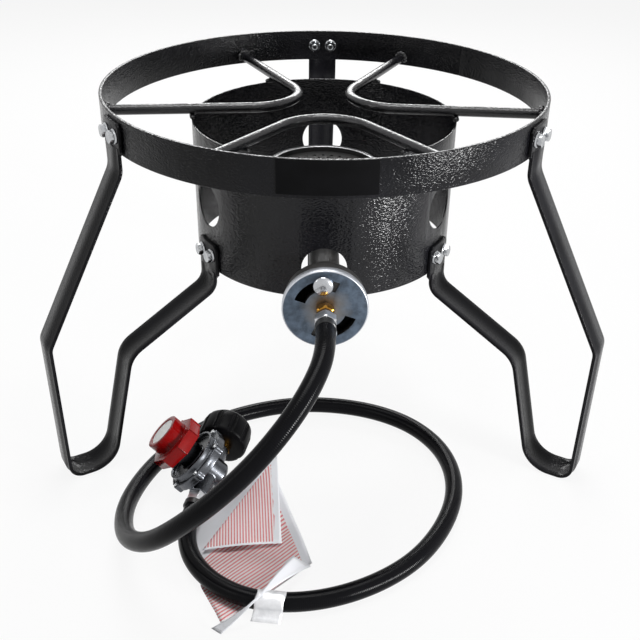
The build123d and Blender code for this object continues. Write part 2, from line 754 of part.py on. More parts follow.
# Diaphragm, its plate and the valve that it pushes open
with BuildPart() as diaphragm:
    with BuildSketch(reg.offset(body_top)):
        Circle(DIAPHRAGM_DIA / 2)
    extrude(amount=DIAPHRAGM_THICK)
save(diaphragm, "diaphragm")
plate_top = bonnet_low + 1.8
with BuildPart() as diaphragm_plate:
    with BuildSketch(reg.offset(bonnet_low)):
        Circle(chamber_r + 3)
    extrude(amount=1.8)
    with BuildSketch(reg.offset(plate_top)):
        Circle(SPRING_MEAN / 2 - SPRING_WIRE / 2 - HOLE_CLEAR)
    extrude(amount=2.0)
save(diaphragm_plate, "diaphragm_plate")
with BuildPart() as valve_poppet:
    with BuildSketch(reg.offset(body_top)):
        Circle(1.4)
    extrude(amount=-body_top - 5.0)
    with BuildSketch(reg.offset(-4.0 - SEAT)):
        Circle(3.8)
    extrude(amount=-2.4)
save(valve_poppet, "valve_poppet")
poppet_low = -4.0 - SEAT - 2.4
with BuildPart() as poppet_spring:
    with BuildLine() as coil:
        coil_low = reg.from_local_coords((0, 0, -BOSS_DEEP + 2.45))
        rise = BOSS_DEEP + poppet_low - 3.0
        Helix(1.1, rise, 2.8, center=coil_low, direction=reg.z_dir)
    with BuildSketch(Plane(origin=coil.line @ 0, z_dir=coil.line % 0)):
        Circle(0.4)
    sweep(is_frenet=True)
save(poppet_spring, "poppet_spring")

# Setting train: knob with its screw, the button that the screw pushes, and the main spring under it
screw_tip = NECK_TOP - 8.5
button_low = screw_tip - SEAT - 3.0
with BuildPart() as spring_button:
    with BuildSketch(reg.offset(button_low)):
        Circle(chamber_r - SLIDE_CLEAR)
    extrude(amount=3.0)
    with BuildSketch(reg.offset(button_low)):
        Circle(SPRING_MEAN / 2 - SPRING_WIRE / 2 - HOLE_CLEAR)
    extrude(amount=-2.0)
save(spring_button, "spring_button")
spring_room = button_low - plate_top
with BuildPart() as main_spring:
    with BuildLine() as coil:
        rise = spring_room - SPRING_WIRE - 2 * SEAT
        coil_low = reg.from_local_coords((0, 0, plate_top + SPRING_WIRE / 2 + SEAT))
        Helix(rise / SPRING_COILS, rise, SPRING_MEAN / 2, center=coil_low, direction=reg.z_dir)
    with BuildSketch(Plane(origin=coil.line @ 0, z_dir=coil.line % 0)):
        Circle(SPRING_WIRE / 2)
    sweep(is_frenet=True)
save(main_spring, "main_spring")
knob_top = KNOB_LOW + WHEEL_HIGH + CROWN_HIGH
with BuildPart() as adjusting_screw:
    with BuildSketch(reg.offset(screw_tip)):
        Circle(ADJUST_DIA / 2 - RUN_CLEAR)
    extrude(amount=knob_top - KNOB_WALL + 1.5 - screw_tip)
save(adjusting_screw, "adjusting_screw")
wheel = []
for flat in range(WHEEL_FLATS):
    for corner, radius in ((flat, WHEEL_DIA / 2), (flat + 1, WHEEL_DIA / 2 - WHEEL_STEP)):
        spot = 2 * pi * corner / WHEEL_FLATS
        wheel.append((radius * cos(spot), radius * sin(spot)))
with BuildPart() as pressure_knob:
    with BuildSketch(reg.offset(KNOB_LOW)):
        Polygon(*wheel, align=None)
    extrude(amount=WHEEL_HIGH)
    with BuildSketch(reg.offset(KNOB_LOW + WHEEL_HIGH)):
        Circle(CROWN_DIA / 2)
    extrude(amount=CROWN_HIGH)
    with BuildSketch(reg.offset(KNOB_LOW)):
        Circle(NECK_DIA / 2 + 1.0)
    extrude(amount=knob_top - KNOB_WALL - KNOB_LOW, mode=Mode.SUBTRACT)
    with BuildSketch(reg.offset(knob_top - KNOB_WALL)):
        Circle(ADJUST_DIA / 2 - RUN_CLEAR)
    extrude(amount=1.5, mode=Mode.SUBTRACT)
    with BuildSketch(reg.offset(knob_top)):
        Circle(INSERT_DIA / 2 + SEAT)
    extrude(amount=-INSERT_THICK - 0.6, mode=Mode.SUBTRACT)
save(pressure_knob, "pressure_knob")
with BuildPart() as knob_insert:
    with BuildSketch(reg.offset(knob_top - INSERT_THICK - 0.6)):
        Circle(INSERT_DIA / 2)
    extrude(amount=INSERT_THICK)
save(knob_insert, "knob_insert")

# Inlet nipple with its seal, and the hand nut that turns on it
nut_wall_top = NUT_LOW + NUT_BACK
nose_end = NUT_LOW + NUT_LENGTH - 12.0
with BuildPart() as inlet_nipple:
    add(turned(
        port_axis,
        (2.5, INLET_REACH - 12),
        (6.5 - THREAD_CLEAR, INLET_REACH - 12),
        (6.5 - THREAD_CLEAR, INLET_REACH),
        (10.0, INLET_REACH),
        (10.0, NUT_LOW - SLIDE_CLEAR),
        (NIPPLE_NECK / 2, NUT_LOW - SLIDE_CLEAR),
        (NIPPLE_NECK / 2, nut_wall_top + SLIDE_CLEAR),
        (12.5, nut_wall_top + SLIDE_CLEAR),
        (12.5, nut_wall_top + 3),
        (NIPPLE_NOSE / 2, nut_wall_top + 3),
        (NIPPLE_NOSE / 2, nut_wall_top + 5),
        (NIPPLE_NOSE / 2 - 1.5, nut_wall_top + 5),
        (NIPPLE_NOSE / 2 - 1.5, nut_wall_top + 7.5),
        (NIPPLE_NOSE / 2, nut_wall_top + 7.5),
        (NIPPLE_NOSE / 2 - 1, nose_end - 1.5),
        (NIPPLE_NOSE / 2 - 3, nose_end),
        (2.5, nose_end),
    ))
save(inlet_nipple, "inlet_nipple")
with BuildPart() as nipple_seal:
    add(turned(
        port_axis,
        (NIPPLE_NOSE / 2 - 1.5 + THREAD_CLEAR, nut_wall_top + 5 + SEAT),
        (NIPPLE_NOSE / 2 + 0.8, nut_wall_top + 5 + SEAT),
        (NIPPLE_NOSE / 2 + 0.8, nut_wall_top + 7.5 - SEAT),
        (NIPPLE_NOSE / 2 - 1.5 + THREAD_CLEAR, nut_wall_top + 7.5 - SEAT),
    ))
save(nipple_seal, "nipple_seal")
with BuildPart() as hand_nut:
    with BuildSketch(across_port.offset(NUT_LOW)):
        Circle(lobe_r)
        with PolarLocations(lobe_r + NUT_NOTCH / 4, NUT_LOBES):
            Circle(NUT_NOTCH / 2, mode=Mode.SUBTRACT)
    extrude(amount=NUT_LENGTH)
    add(turned(
        port_axis,
        (0, NUT_LOW),
        (lobe_r - 4, NUT_LOW),
        (lobe_r - 1, NUT_LOW + 1.2),
        (lobe_r, NUT_LOW + 3.5),
        (lobe_r, NUT_LOW + NUT_LENGTH - 9),
        (lobe_r - 1.2, NUT_LOW + NUT_LENGTH - 4),
        (lobe_r - 4.5, NUT_LOW + NUT_LENGTH),
        (0, NUT_LOW + NUT_LENGTH),
    ), mode=Mode.INTERSECT)
    with BuildSketch(across_port.offset(nut_wall_top)):
        Circle(NUT_THREAD / 2)
    extrude(amount=NUT_LENGTH, mode=Mode.SUBTRACT)
    with BuildSketch(across_port.offset(NUT_LOW)):
        Circle(NIPPLE_NECK / 2 + RUN_CLEAR)
    extrude(amount=NUT_BACK, mode=Mode.SUBTRACT)
save(hand_nut, "hand_nut")

# Outlet: plated hex fitting in the body and the ferrule that the hose end is crimped in
ferrule_low = -OUTLET_REACH - OUT_HEX
hose_end_x = ferrule_low - FERRULE_LENGTH
with BuildPart() as outlet_fitting:
    with BuildSketch(across_port.offset(-OUTLET_REACH)):
        RegularPolygon(COUPLING_AF / 2, 6, major_radius=False)
    extrude(amount=-OUT_HEX)
    with BuildSketch(across_port.offset(-OUTLET_REACH)):
        Circle(5.5 - THREAD_CLEAR)
    extrude(amount=9.0)
    with BuildSketch(across_port.offset(ferrule_low)):
        Circle(2.5)
    extrude(amount=OUT_HEX + 9.0, mode=Mode.SUBTRACT)
save(outlet_fitting, "outlet_fitting")
with BuildPart() as hose_ferrule:
    with BuildSketch(across_port.offset(ferrule_low)):
        Circle(FERRULE_DIA / 2)
        Circle(2.5, mode=Mode.SUBTRACT)
    extrude(amount=-FERRULE_LENGTH)
save(hose_ferrule, "hose_ferrule")

# Gas hose: straight runs and tangent arcs from the coupling, around the floor, to the ferrule
hose_end = reg.from_local_coords((hose_end_x, 0, 0))
hose_last = reg.from_local_coords((hose_end_x - HOSE_TAIL, 0, 0))
hose_floor = HOSE_DIA / 2 + HOSE_LIFT
hose_points = [
    (0, -hose_start, venturi_z),
    (0, -hose_start - HOSE_LEAD, venturi_z),
    (-5, -273, 202.5),
    (-22, -303, 186),
    (-49, -325, 160),
    (-78, -334, 133),
    (-107, -330, 103.5),
    (-133, -315, 73.5),
    (-155, -289, 50),
    (-169, -254, 31.5),
    (-175, -213, 19.5),
    (-170, -171, 12.5),
    (-156, -131, 9),
    (-132, -96, hose_floor),
    (-102, -68, hose_floor),
    (-64, -49, hose_floor),
    (-23, -39, hose_floor),
    (20, -41, hose_floor),
    (60, -53, hose_floor),
    (94, -76, hose_floor),
    (117, -110, hose_floor),
    (126, -149, hose_floor),
    (122, -190, hose_floor),
    (105, -231, hose_floor),
    (80, -266, hose_floor),
    (47, -292, hose_floor),
    (9, -309, hose_floor),
    (-29, -315, hose_floor),
    (-64, -309.5, hose_floor),
    (-94, -290.5, hose_floor),
    (-114.5, -261, hose_floor),
    (hose_last.X, hose_last.Y, hose_last.Z),
    (hose_end.X, hose_end.Y, hose_end.Z),
]
hose_radii = []
for before, at, after in zip(hose_points, hose_points[1:], hose_points[2:]):
    come = Vector(*at) - Vector(*before)
    go = Vector(*after) - Vector(*at)
    turn = radians(come.get_angle(go))
    hose_radii.append(0.45 * min(come.length, go.length) / tan(turn / 2))
with BuildPart() as gas_hose:
    with BuildLine() as path:
        FilletPolyline(*hose_points, radius=hose_radii)
    with BuildSketch(Plane(origin=path.line @ 0, z_dir=path.line % 0)):
        Circle(HOSE_DIA / 2)
        Circle(HOSE_BORE / 2, mode=Mode.SUBTRACT)
    sweep()
save(gas_hose, "gas_hose")
hose_area = pi / 4 * (HOSE_DIA ** 2 - HOSE_BORE ** 2)
hose_length = sum(edge.length for edge in path.edges())
print("hose radii", [round(radius) for radius in hose_radii])
print("hose length", round(hose_length), "volume share", round(gas_hose.part.volume / hose_area / hose_length, 3))

# Foil sleeve around the front of the hose, open below
foil_plane = Plane(origin=path.line @ FOIL_SPOT, x_dir=(0, 0, 1), z_dir=path.line % FOIL_SPOT)
with BuildPart() as foil_sleeve:
    with BuildSketch(foil_plane):
        Circle(HOSE_DIA / 2 + FOIL_CLEAR + FOIL_THICK)
        Circle(HOSE_DIA / 2 + FOIL_CLEAR, mode=Mode.SUBTRACT)
        with Locations((-HOSE_DIA, 0)):
            Rectangle(HOSE_DIA + 1.0, 2 * HOSE_DIA, mode=Mode.SUBTRACT)
    extrude(amount=FOIL_LENGTH / 2, both=True)
save(foil_sleeve, "foil_sleeve")

# Paper tag: blank sheet flat on the floor under the front of the hose
with BuildPart() as paper_tag:
    with BuildSketch(Plane.XY.offset(TAG_LIFT)):
        with BuildLine():
            Polyline(*TAG_CORNERS, close=True)
        make_face()
    extrude(amount=TAG_THICK)
save(paper_tag, "paper_tag")

print("axis y", round(axis_y, 3), "foil", foil_plane.origin, "reg", reg.origin, reg.x_dir, reg.z_dir)
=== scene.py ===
import math

import bmesh
import bpy
from mathutils import Matrix, Vector


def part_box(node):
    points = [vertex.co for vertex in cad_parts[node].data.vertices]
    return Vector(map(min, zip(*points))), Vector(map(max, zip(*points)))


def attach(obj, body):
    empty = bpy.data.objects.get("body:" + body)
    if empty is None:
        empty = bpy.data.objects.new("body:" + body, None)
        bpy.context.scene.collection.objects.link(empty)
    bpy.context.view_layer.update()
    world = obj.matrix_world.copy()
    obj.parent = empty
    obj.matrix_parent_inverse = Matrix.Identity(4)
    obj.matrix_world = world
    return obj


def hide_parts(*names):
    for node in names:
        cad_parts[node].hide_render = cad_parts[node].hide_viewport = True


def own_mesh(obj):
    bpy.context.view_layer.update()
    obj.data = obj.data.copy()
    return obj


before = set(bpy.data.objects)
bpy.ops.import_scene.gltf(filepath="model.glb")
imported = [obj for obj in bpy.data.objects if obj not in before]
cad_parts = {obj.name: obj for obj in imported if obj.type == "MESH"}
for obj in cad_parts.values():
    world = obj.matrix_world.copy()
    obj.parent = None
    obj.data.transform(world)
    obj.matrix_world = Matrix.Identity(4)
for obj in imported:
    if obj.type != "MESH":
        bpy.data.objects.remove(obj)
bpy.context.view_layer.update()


# Pot ring: a flat steel bar rolled into a hoop and butt welded at the back right, then sprayed with a
# hammered black powder coat. The coat rounds the bar's edges, which catch the light as a thin line.
class Socket:
    """An output of a node tree that takes part in sums, so that a finish reads as a formula."""

    def __init__(self, tree, socket):
        self.tree = tree
        self.socket = socket

    def math(self, operation, first, second=0.0):
        return self.tree.node("ShaderNodeMath", {"operation": operation}, {0: first, 1: second})

    def shaped(self, operation):
        """A function of this value alone, such as its sine."""
        return self.math(operation, self)

    def __add__(self, other):
        return self.math("ADD", self, other)

    def __sub__(self, other):
        return self.math("SUBTRACT", self, other)

    def __rsub__(self, other):
        return self.math("SUBTRACT", other, self)

    def __mul__(self, other):
        return self.math("MULTIPLY", self, other)

    def __truediv__(self, other):
        return self.math("DIVIDE", self, other)

    def __gt__(self, other):
        return self.math("GREATER_THAN", self, other)

    def __lt__(self, other):
        return self.math("LESS_THAN", self, other)

    __radd__ = __add__
    __rmul__ = __mul__


class Tree:
    """A node tree that grows one node at a time."""

    def __init__(self, tree):
        self.tree = tree

    def node(self, kind, settings, sockets, out=0):
        made = self.tree.nodes.new(kind)
        for key, value in settings.items():
            setattr(made, key, value)
        for key, value in sockets.items():
            if isinstance(value, Socket):
                self.tree.links.new(value.socket, made.inputs[key])
            else:
                made.inputs[key].default_value = value
        return Socket(self, made.outputs[out])


class Finish(Tree):
    """A coat, plating or plastic: one material, its shader and what varies over its surface."""

    def __init__(self, name, fixed):
        self.material = bpy.data.materials.new(name)
        self.material.use_nodes = True
        super().__init__(self.material.node_tree)
        self.shader = self.tree.nodes["Principled BSDF"]
        for key, value in fixed.items():
            self.shader.inputs[key].default_value = value
        self.place = self.node("ShaderNodeTexCoord", {}, {}, "Object")

    def noise(self, size, detail=2.0, rough=0.5, out="Fac", place=None):
        sockets = {"Vector": place or self.place, "Scale": 1 / size, "Detail": detail, "Roughness": rough}
        return self.node("ShaderNodeTexNoise", {}, sockets, out)

    def mix(self, share, first, second):
        """Two colours in shares: socket numbers are those of the Mix node's colour side."""
        return self.node("ShaderNodeMix", {"data_type": "RGBA"}, {0: share, 6: first, 7: second}, 2)

    def vector(self, operation, *values, out="Vector"):
        return self.node("ShaderNodeVectorMath", {"operation": operation}, dict(enumerate(values)), out)

    def ramp(self, value, low, high):
        return self.node("ShaderNodeMapRange", {}, {0: value, 1: low, 2: high})

    def part(self, vector, axis):
        return self.node("ShaderNodeSeparateXYZ", {}, {0: vector}, axis)

    def bump(self, height, depth):
        return self.node("ShaderNodeBump", {}, {"Height": height, "Distance": depth, "Strength": 1.0})

    def feed(self, **links):
        for key, value in links.items():
            self.tree.links.new(value.socket, self.shader.inputs[key.replace("_", " ")])
        return self.material


def hammer_coat(name, grain, depth, shine, gloss):
    """Powder coat that runs into small flat-lying worms, a little greyer where it lies thicker."""
    coat = Finish(name, {"Specular IOR Level": shine})
    lying = coat.vector("MULTIPLY", coat.place, (0.8, 0.8, 1.5))
    drift = coat.noise(grain * 1.7, 1.0, 0.5, "Color", lying)
    shaken = coat.vector("MULTIPLY_ADD", drift, (grain * 1.3,) * 3, lying)
    cells = coat.node(
        "ShaderNodeTexVoronoi",
        {"feature": "SMOOTH_F1"},
        {"Vector": shaken, "Scale": 1 / grain, "Smoothness": 0.5},
        "Distance",
    )
    fine = coat.noise(grain * 0.4, 1.0)
    cloud = coat.noise(0.05, 3.0)
    thick = coat.ramp(cloud, 0.35, 0.7)
    return coat.feed(
        Base_Color=coat.mix(thick, (0.003, 0.003, 0.004, 1), (0.008, 0.008, 0.010, 1)),
        Roughness=gloss + (cloud - 0.5) * 0.16 + (fine - 0.5) * 0.12,
        Normal=coat.bump(cells * 0.8 + fine * 0.2, depth),
    )


def stand_in_scene(name, data):
    """An object at the origin, unturned and unscaled."""
    piece = bpy.data.objects.new(name, data)
    bpy.context.collection.objects.link(piece)
    return piece


def fit(name, mesh, material, body, *nodes):
    """Puts a finished mesh on its body, in the place of these CAD nodes."""
    mesh.materials.clear()
    mesh.materials.append(material)
    piece = stand_in_scene(name, mesh)
    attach(piece, body)
    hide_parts(*nodes)
    return piece


def merged(*nodes):
    """The shape of these CAD nodes, with their loose triangles joined at the corners."""
    shape = bmesh.new()
    for node in nodes:
        shape.from_mesh(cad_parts[node].data)
    bmesh.ops.remove_doubles(shape, verts=shape.verts, dist=0.00001)
    return shape


def smooth_mesh(name, shape):
    """A mesh from a worked shape, which is used up."""
    mesh = bpy.data.meshes.new(name)
    shape.to_mesh(mesh)
    shape.free()
    mesh.shade_smooth()
    return mesh


CORNER = math.radians(38)


def eased(node, material, round_off, body="stand"):
    """A CAD node's own shape with its sharp edges rounded."""
    shape = merged(node)
    bmesh.ops.join_triangles(
        shape,
        faces=shape.faces,
        angle_face_threshold=math.radians(1),
        angle_shape_threshold=math.radians(180),
    )
    piece = fit(f"{node}.eased", smooth_mesh(node, shape), material, body, node)
    edge = piece.modifiers.new("edge", "BEVEL")
    edge.width = round_off
    edge.segments = 3
    edge.limit_method = "ANGLE"
    edge.angle_limit = CORNER
    edge.use_clamp_overlap = False
    edge.harden_normals = True
    return piece


powder_black = hammer_coat("powder_black", grain=0.0018, depth=0.00050, shine=0.16, gloss=0.17)
eased("pot_ring", powder_black, round_off=0.0006)


# Pot rods: three bent round bars under the same coat, welded to the inside of the ring and tacked where
# they cross the rim of the wind shroud. The welds are short rows of lumps left by the torch.
def repaint(material, *nodes):
    """Gives CAD nodes whose shape is right a finish of their own."""
    for node in nodes:
        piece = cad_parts[node]
        piece.data.materials.clear()
        piece.data.materials.append(material)


rod_black = hammer_coat("rod_black", grain=0.0014, depth=0.00026, shine=0.50, gloss=0.22)
repaint(rod_black, "pot_rod_front", "pot_rod_left", "pot_rod_right")


class Recipe(Tree):
    """A Geometry Nodes tree with named sizes that is run once and leaves a plain mesh."""

    def __init__(self, name, *sizes):
        super().__init__(bpy.data.node_groups.new(name, "GeometryNodeTree"))
        face = self.tree.interface
        face.new_socket("Geometry", in_out="INPUT", socket_type="NodeSocketGeometry")
        face.new_socket("Geometry", in_out="OUTPUT", socket_type="NodeSocketGeometry")
        self.keys = {}
        for size in sizes:
            entry = face.new_socket(size, in_out="INPUT", socket_type="NodeSocketFloat")
            self.keys[size] = entry.identifier
        self.source = self.tree.nodes.new("NodeGroupInput")
        self.goal = self.tree.nodes.new("NodeGroupOutput")

    def given(self, name):
        return Socket(self, self.source.outputs[name])

    def keep(self, geometry, value):
        """Stores a value on a geometry before it changes, and gives back both."""
        made = self.tree.nodes.new("GeometryNodeCaptureAttribute")
        made.capture_items.new("FLOAT", "kept")
        self.tree.links.new(geometry.socket, made.inputs[0])
        self.tree.links.new(value.socket, made.inputs[1])
        return Socket(self, made.outputs[0]), Socket(self, made.outputs[1])

    def run(self, geometry, base, material, **sizes):
        solid = self.node("GeometryNodeRealizeInstances", {}, {0: geometry})
        dressed = self.node("GeometryNodeSetMaterial", {}, {"Geometry": solid, "Material": material})
        self.tree.links.new(dressed.socket, self.goal.inputs[0])
        maker = stand_in_scene(self.tree.name, base)
        steps = maker.modifiers.new("recipe", "NODES")
        steps.node_group = self.tree
        for name, value in sizes.items():
            steps[self.keys[name]] = value
        return settled(maker)


def settled(maker):
    """The plain mesh that an object's modifiers leave; the object itself goes."""
    mesh = bpy.data.meshes.new_from_object(maker.evaluated_get(bpy.context.evaluated_depsgraph_get()))
    bpy.data.objects.remove(maker)
    return mesh


def outward(turn):
    """Level direction away from the burner axis; turn 0 is the front and grows to the right."""
    return Vector((math.sin(turn), -math.cos(turn), 0))


def about_burner(turn, radius, height):
    """A spot on a circle about the burner axis, above the floor."""
    return outward(turn) * radius + Vector((0, burner_y, height))


def points(name, spots, turns=()):
    """A mesh of bare points, with the direction that each one faces."""
    mesh = bpy.data.meshes.new(name)
    mesh.from_pydata(spots, [], [])
    if turns:
        mesh.attributes.new("turn", "FLOAT", "POINT").data.foreach_set("value", turns)
    return mesh


burner_low, burner_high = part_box("burner_bolt")
burner_y = (burner_low.y + burner_high.y) / 2
rod_low, rod_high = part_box("pot_rod_front")
rod_r = (rod_high.z - rod_low.z) / 2
rod_z = (rod_high.z + rod_low.z) / 2
ring_low, ring_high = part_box("pot_ring")
shroud_low, shroud_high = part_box("wind_shroud")
WALL = {"ring": 0.003, "shroud": 0.0015}
ROD_END_TURN = 34.5
ROD_RIM_TURN = 34.3
END_LUMPS = 7
RIM_LUMPS = 5
LUMP_R = 0.0026
LUMP_PITCH = 0.0022
LUMP_OUT = 0.0012
LUMP_OFF_ROD = 0.0004
LUMP_FIRST = -20
LUMP_SWEEP = 220
RIM_INSET = 0.0008
band_in = (ring_high.x - ring_low.x) / 2 - WALL["ring"]
rim_r = (shroud_high.x - shroud_low.x) / 2 - RIM_INSET
weld_spots = []
for rod_turn in (0, 120, -120):
    for side in (-1, 1):
        end_turn = math.radians(rod_turn + side * ROD_END_TURN)
        rim_turn = math.radians(rod_turn + side * ROD_RIM_TURN)
        for lump in range(END_LUMPS):
            lean = math.radians(LUMP_FIRST + lump * LUMP_SWEEP / (END_LUMPS - 1))
            across = (rod_r + LUMP_OFF_ROD) * math.cos(lean)
            rise = (rod_r + LUMP_OFF_ROD) * math.sin(lean)
            turn = end_turn + across / band_in
            weld_spots.append(about_burner(turn, band_in - LUMP_OUT, rod_z + rise))
        for lump in range(RIM_LUMPS):
            across = (lump - RIM_LUMPS // 2) * LUMP_PITCH
            weld_spots.append(about_burner(rim_turn + across / rim_r, rim_r, shroud_high.z + LUMP_OUT))
welding = Recipe("weld_lumps", "Lump")
lump_r = welding.given("Lump")
one_lump = welding.node("GeometryNodeMeshIcoSphere", {}, {"Radius": lump_r, "Subdivisions": 3})
swell = welding.node(
    "FunctionNodeRandomValue",
    {"data_type": "FLOAT_VECTOR"},
    {0: (0.7, 0.7, 0.7), 1: (1.25, 1.25, 1.1), "Seed": 4},
)
lumps = welding.node(
    "GeometryNodeInstanceOnPoints",
    {},
    {"Points": welding.given("Geometry"), "Instance": one_lump, "Scale": swell},
)
soft_lumps = welding.node("GeometryNodeSetShadeSmooth", {}, {0: lumps})
welds = welding.run(soft_lumps, points("weld_spots", weld_spots), rod_black, Lump=LUMP_R)
weld_piece = stand_in_scene("welds", welds)
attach(weld_piece, "stand")

# Label: a strip of thin black film with a plain satin face. It is stuck round the front of the band and
# reaches up to the band's top edge.
film = Finish("label_black", {"Specular IOR Level": 0.04})
label_black = film.feed(
    Base_Color=film.mix(film.noise(0.02), (0.003, 0.003, 0.003, 1), (0.007, 0.007, 0.008, 1)),
    Roughness=film.noise(0.004) * 0.15 + 0.26,
)
repaint(label_black, "ring_label")

# Wind shroud: rolled sheet with a coarser run of the hammered coat, open above and below, with three air
# holes over the legs and one for the burner tube. Its cut edges are softened by the coat.
shroud_black = hammer_coat("shroud_black", grain=0.0019, depth=0.00056, shine=0.28, gloss=0.17)
eased("wind_shroud", shroud_black, round_off=0.0004)

# Legs: steel strap with a pressed bead, bent in one go from the ring down to the foot and back up to the
# shroud, under a thinner and smoother run of the coat.
leg_black = hammer_coat("leg_black", grain=0.0013, depth=0.00022, shine=0.11, gloss=0.20)
for side in ("left", "right", "back"):
    eased(f"leg_{side}", leg_black, round_off=0.0005)


# Leg bolts and nuts: plated hex bolts and nuts with a washer face, put through tab and wall. They are run
# down by hand, so each stops at its own angle.
def plating(name, dark, light, gloss):
    """Bright zinc plate with faint clouds and wiped marks."""
    plate = Finish(name, {"Metallic": 1.0})
    cloud = plate.noise(0.006, 3.0)
    return plate.feed(
        Base_Color=plate.mix(cloud, (*dark, 1), (*light, 1)),
        Roughness=gloss + (cloud - 0.5) * 0.2,
        Normal=plate.bump(plate.noise(0.0012, 2.0), 0.00002),
    )


SHARP_EDGE = math.radians(30)


def turned(name, rows, sides=48):
    """Mesh turned about its z axis from rows of radius, height and, on a hex, the width across flats."""
    shape = bmesh.new()
    rings = []
    for radius, height, *flats in rows:
        ring = []
        for step in range(sides):
            angle = 2 * math.pi * step / sides
            reach = radius
            if flats:
                off_flat = (angle + math.pi / 6) % (math.pi / 3) - math.pi / 6
                reach = min(radius, flats[0] / 2 / math.cos(off_flat))
            ring.append(shape.verts.new((reach * math.cos(angle), reach * math.sin(angle), height)))
        rings.append(ring)
    for low, high in zip(rings, rings[1:]):
        for step in range(sides):
            after = (step + 1) % sides
            shape.faces.new((low[step], low[after], high[after], high[step]))
    bmesh.ops.remove_doubles(shape, verts=shape.verts, dist=0.000001)
    bmesh.ops.recalc_face_normals(shape, faces=shape.faces)
    mesh = smooth_mesh(name, shape)
    mesh.set_sharp_from_angle(angle=SHARP_EDGE)
    return mesh


HEX = 0.010
FLANGE_R = 0.0065
SHANK_R = 0.003
LEG_STOCK = 0.003
BOLT_SIDE = 0.009
SEAT_GAP = 0.0001
LEG_TURNS = (-60, 60, 180)
RING_BOLT_DROP = 0.0155
SHROUD_BOLT_RISE = 0.015


def bolt_rows(length):
    """Flange bolt: its seat at height 0, its shank below."""
    return [
        (0, -length), (SHANK_R - 0.0007, -length), (SHANK_R, 0.0008 - length), (SHANK_R, -0.0001),
        (FLANGE_R - 0.0003, 0), (FLANGE_R, 0.0004), (FLANGE_R - 0.0002, 0.0009), (0.0058, 0.0014),
        (0.0058, 0.0015, HEX), (0.0058, 0.0046, HEX), (0.0049, 0.0054, HEX), (0.0040, 0.0054),
        (0.0033, 0.0051), (0, 0.0050),
    ]


nut_rows = [
    (SHANK_R, -0.0001), (FLANGE_R - 0.0003, 0), (FLANGE_R, 0.0004), (FLANGE_R - 0.0002, 0.0009),
    (0.0058, 0.0014), (0.0058, 0.0015, HEX), (0.0058, 0.0052, HEX), (0.0049, 0.0060, HEX),
    (0.0037, 0.0060), (SHANK_R, 0.0053), (SHANK_R, 0.0073), (SHANK_R - 0.0006, 0.0079), (0, 0.0080),
]
zinc_bright = plating("zinc_bright", dark=(0.34, 0.35, 0.37), light=(0.58, 0.59, 0.60), gloss=0.20)
bolt_z = {"ring": ring_high.z - RING_BOLT_DROP, "shroud": shroud_low.z + SHROUD_BOLT_RISE}
wall_out = {"ring": (ring_high.x - ring_low.x) / 2, "shroud": (shroud_high.x - shroud_low.x) / 2}
leg_turns = [math.radians(turn) for turn in LEG_TURNS]
for hoop in ("ring", "shroud"):
    turns = [turn + side * BOLT_SIDE / wall_out[hoop] for turn in leg_turns for side in (-1, 1)]
    head_r = wall_out[hoop] + LEG_STOCK + SEAT_GAP
    nut_r = math.sqrt((wall_out[hoop] - WALL[hoop]) ** 2 - FLANGE_R ** 2) - SEAT_GAP
    for name, rows, radius, half_turn in (
        (f"{hoop}_bolts", bolt_rows(LEG_STOCK), head_r, 0),
        (f"{hoop}_nuts", nut_rows, nut_r, math.pi),
    ):
        template = stand_in_scene(name, turned(name, rows))
        driving = Recipe(f"{name}_recipe", "Slack")
        bearing = driving.node("GeometryNodeInputNamedAttribute", {"data_type": "FLOAT"}, {"Name": "turn"})
        heading = driving.node("ShaderNodeCombineXYZ", {}, {0: math.pi / 2, 2: bearing})
        shape = driving.node("GeometryNodeObjectInfo", {}, {"Object": template}, "Geometry")
        placed = driving.node(
            "GeometryNodeInstanceOnPoints",
            {},
            {"Points": driving.given("Geometry"), "Instance": shape, "Rotation": heading},
        )
        slack = driving.node(
            "FunctionNodeRandomValue", {"data_type": "FLOAT"}, {3: driving.given("Slack"), "Seed": 11}, 1
        )
        roll = driving.node("ShaderNodeCombineXYZ", {}, {2: slack})
        run_down = driving.node("GeometryNodeRotateInstances", {}, {"Instances": placed, "Rotation": roll})
        spots = [about_burner(turn, radius, bolt_z[hoop]) for turn in turns]
        base = points(name, spots, [turn + half_turn for turn in turns])
        fasteners = driving.run(run_down, base, zinc_bright, Slack=math.pi / 3)
        bpy.data.objects.remove(template)
        fit(f"{name}.plated", fasteners, zinc_bright, "stand", name)


# Burner: a cast iron head, neck and tube under black stove paint, with the head's rim ground bright. The
# drilled cap drops in and one long bolt holds cap, casting and strap together.
def facing(spot, axis):
    """Matrix that stands a turned mesh on this spot with its z along this axis."""
    return Matrix.Translation(spot) @ Vector(axis).to_track_quat("Z", "Y").to_matrix().to_4x4()


GROUND_DEEP = 0.0004
head_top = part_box("burner_casting")[1].z
iron = Finish("iron_black", {"Specular IOR Level": 0.5})
skin = iron.noise(0.0011, 3.0, 0.6)
rust = iron.noise(0.014, 4.0)
ground_face = iron.part(iron.place, 2) > head_top - GROUND_DEEP
iron_colour = iron.mix(iron.ramp(rust, 0.45, 0.75), (0.006, 0.006, 0.006, 1), (0.016, 0.014, 0.013, 1))
iron_black = iron.feed(
    Base_Color=iron.mix(ground_face, iron_colour, (0.42, 0.42, 0.43, 1)),
    Metallic=ground_face,
    Roughness=0.5 - ground_face * 0.2 + (rust - 0.5) * 0.2,
    Normal=iron.bump(skin, 0.00022),
)
eased("burner_casting", iron_black, round_off=0.0007)
repaint(iron_black, "burner_cap")
repaint(rod_black, "burner_strap")
cap_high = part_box("burner_cap")[1].z
strap_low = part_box("burner_strap")[0].z
stack_bolt = turned("burner_bolt", bolt_rows(cap_high - strap_low))
stack_bolt.transform(Matrix.Translation((0, burner_y, cap_high)))
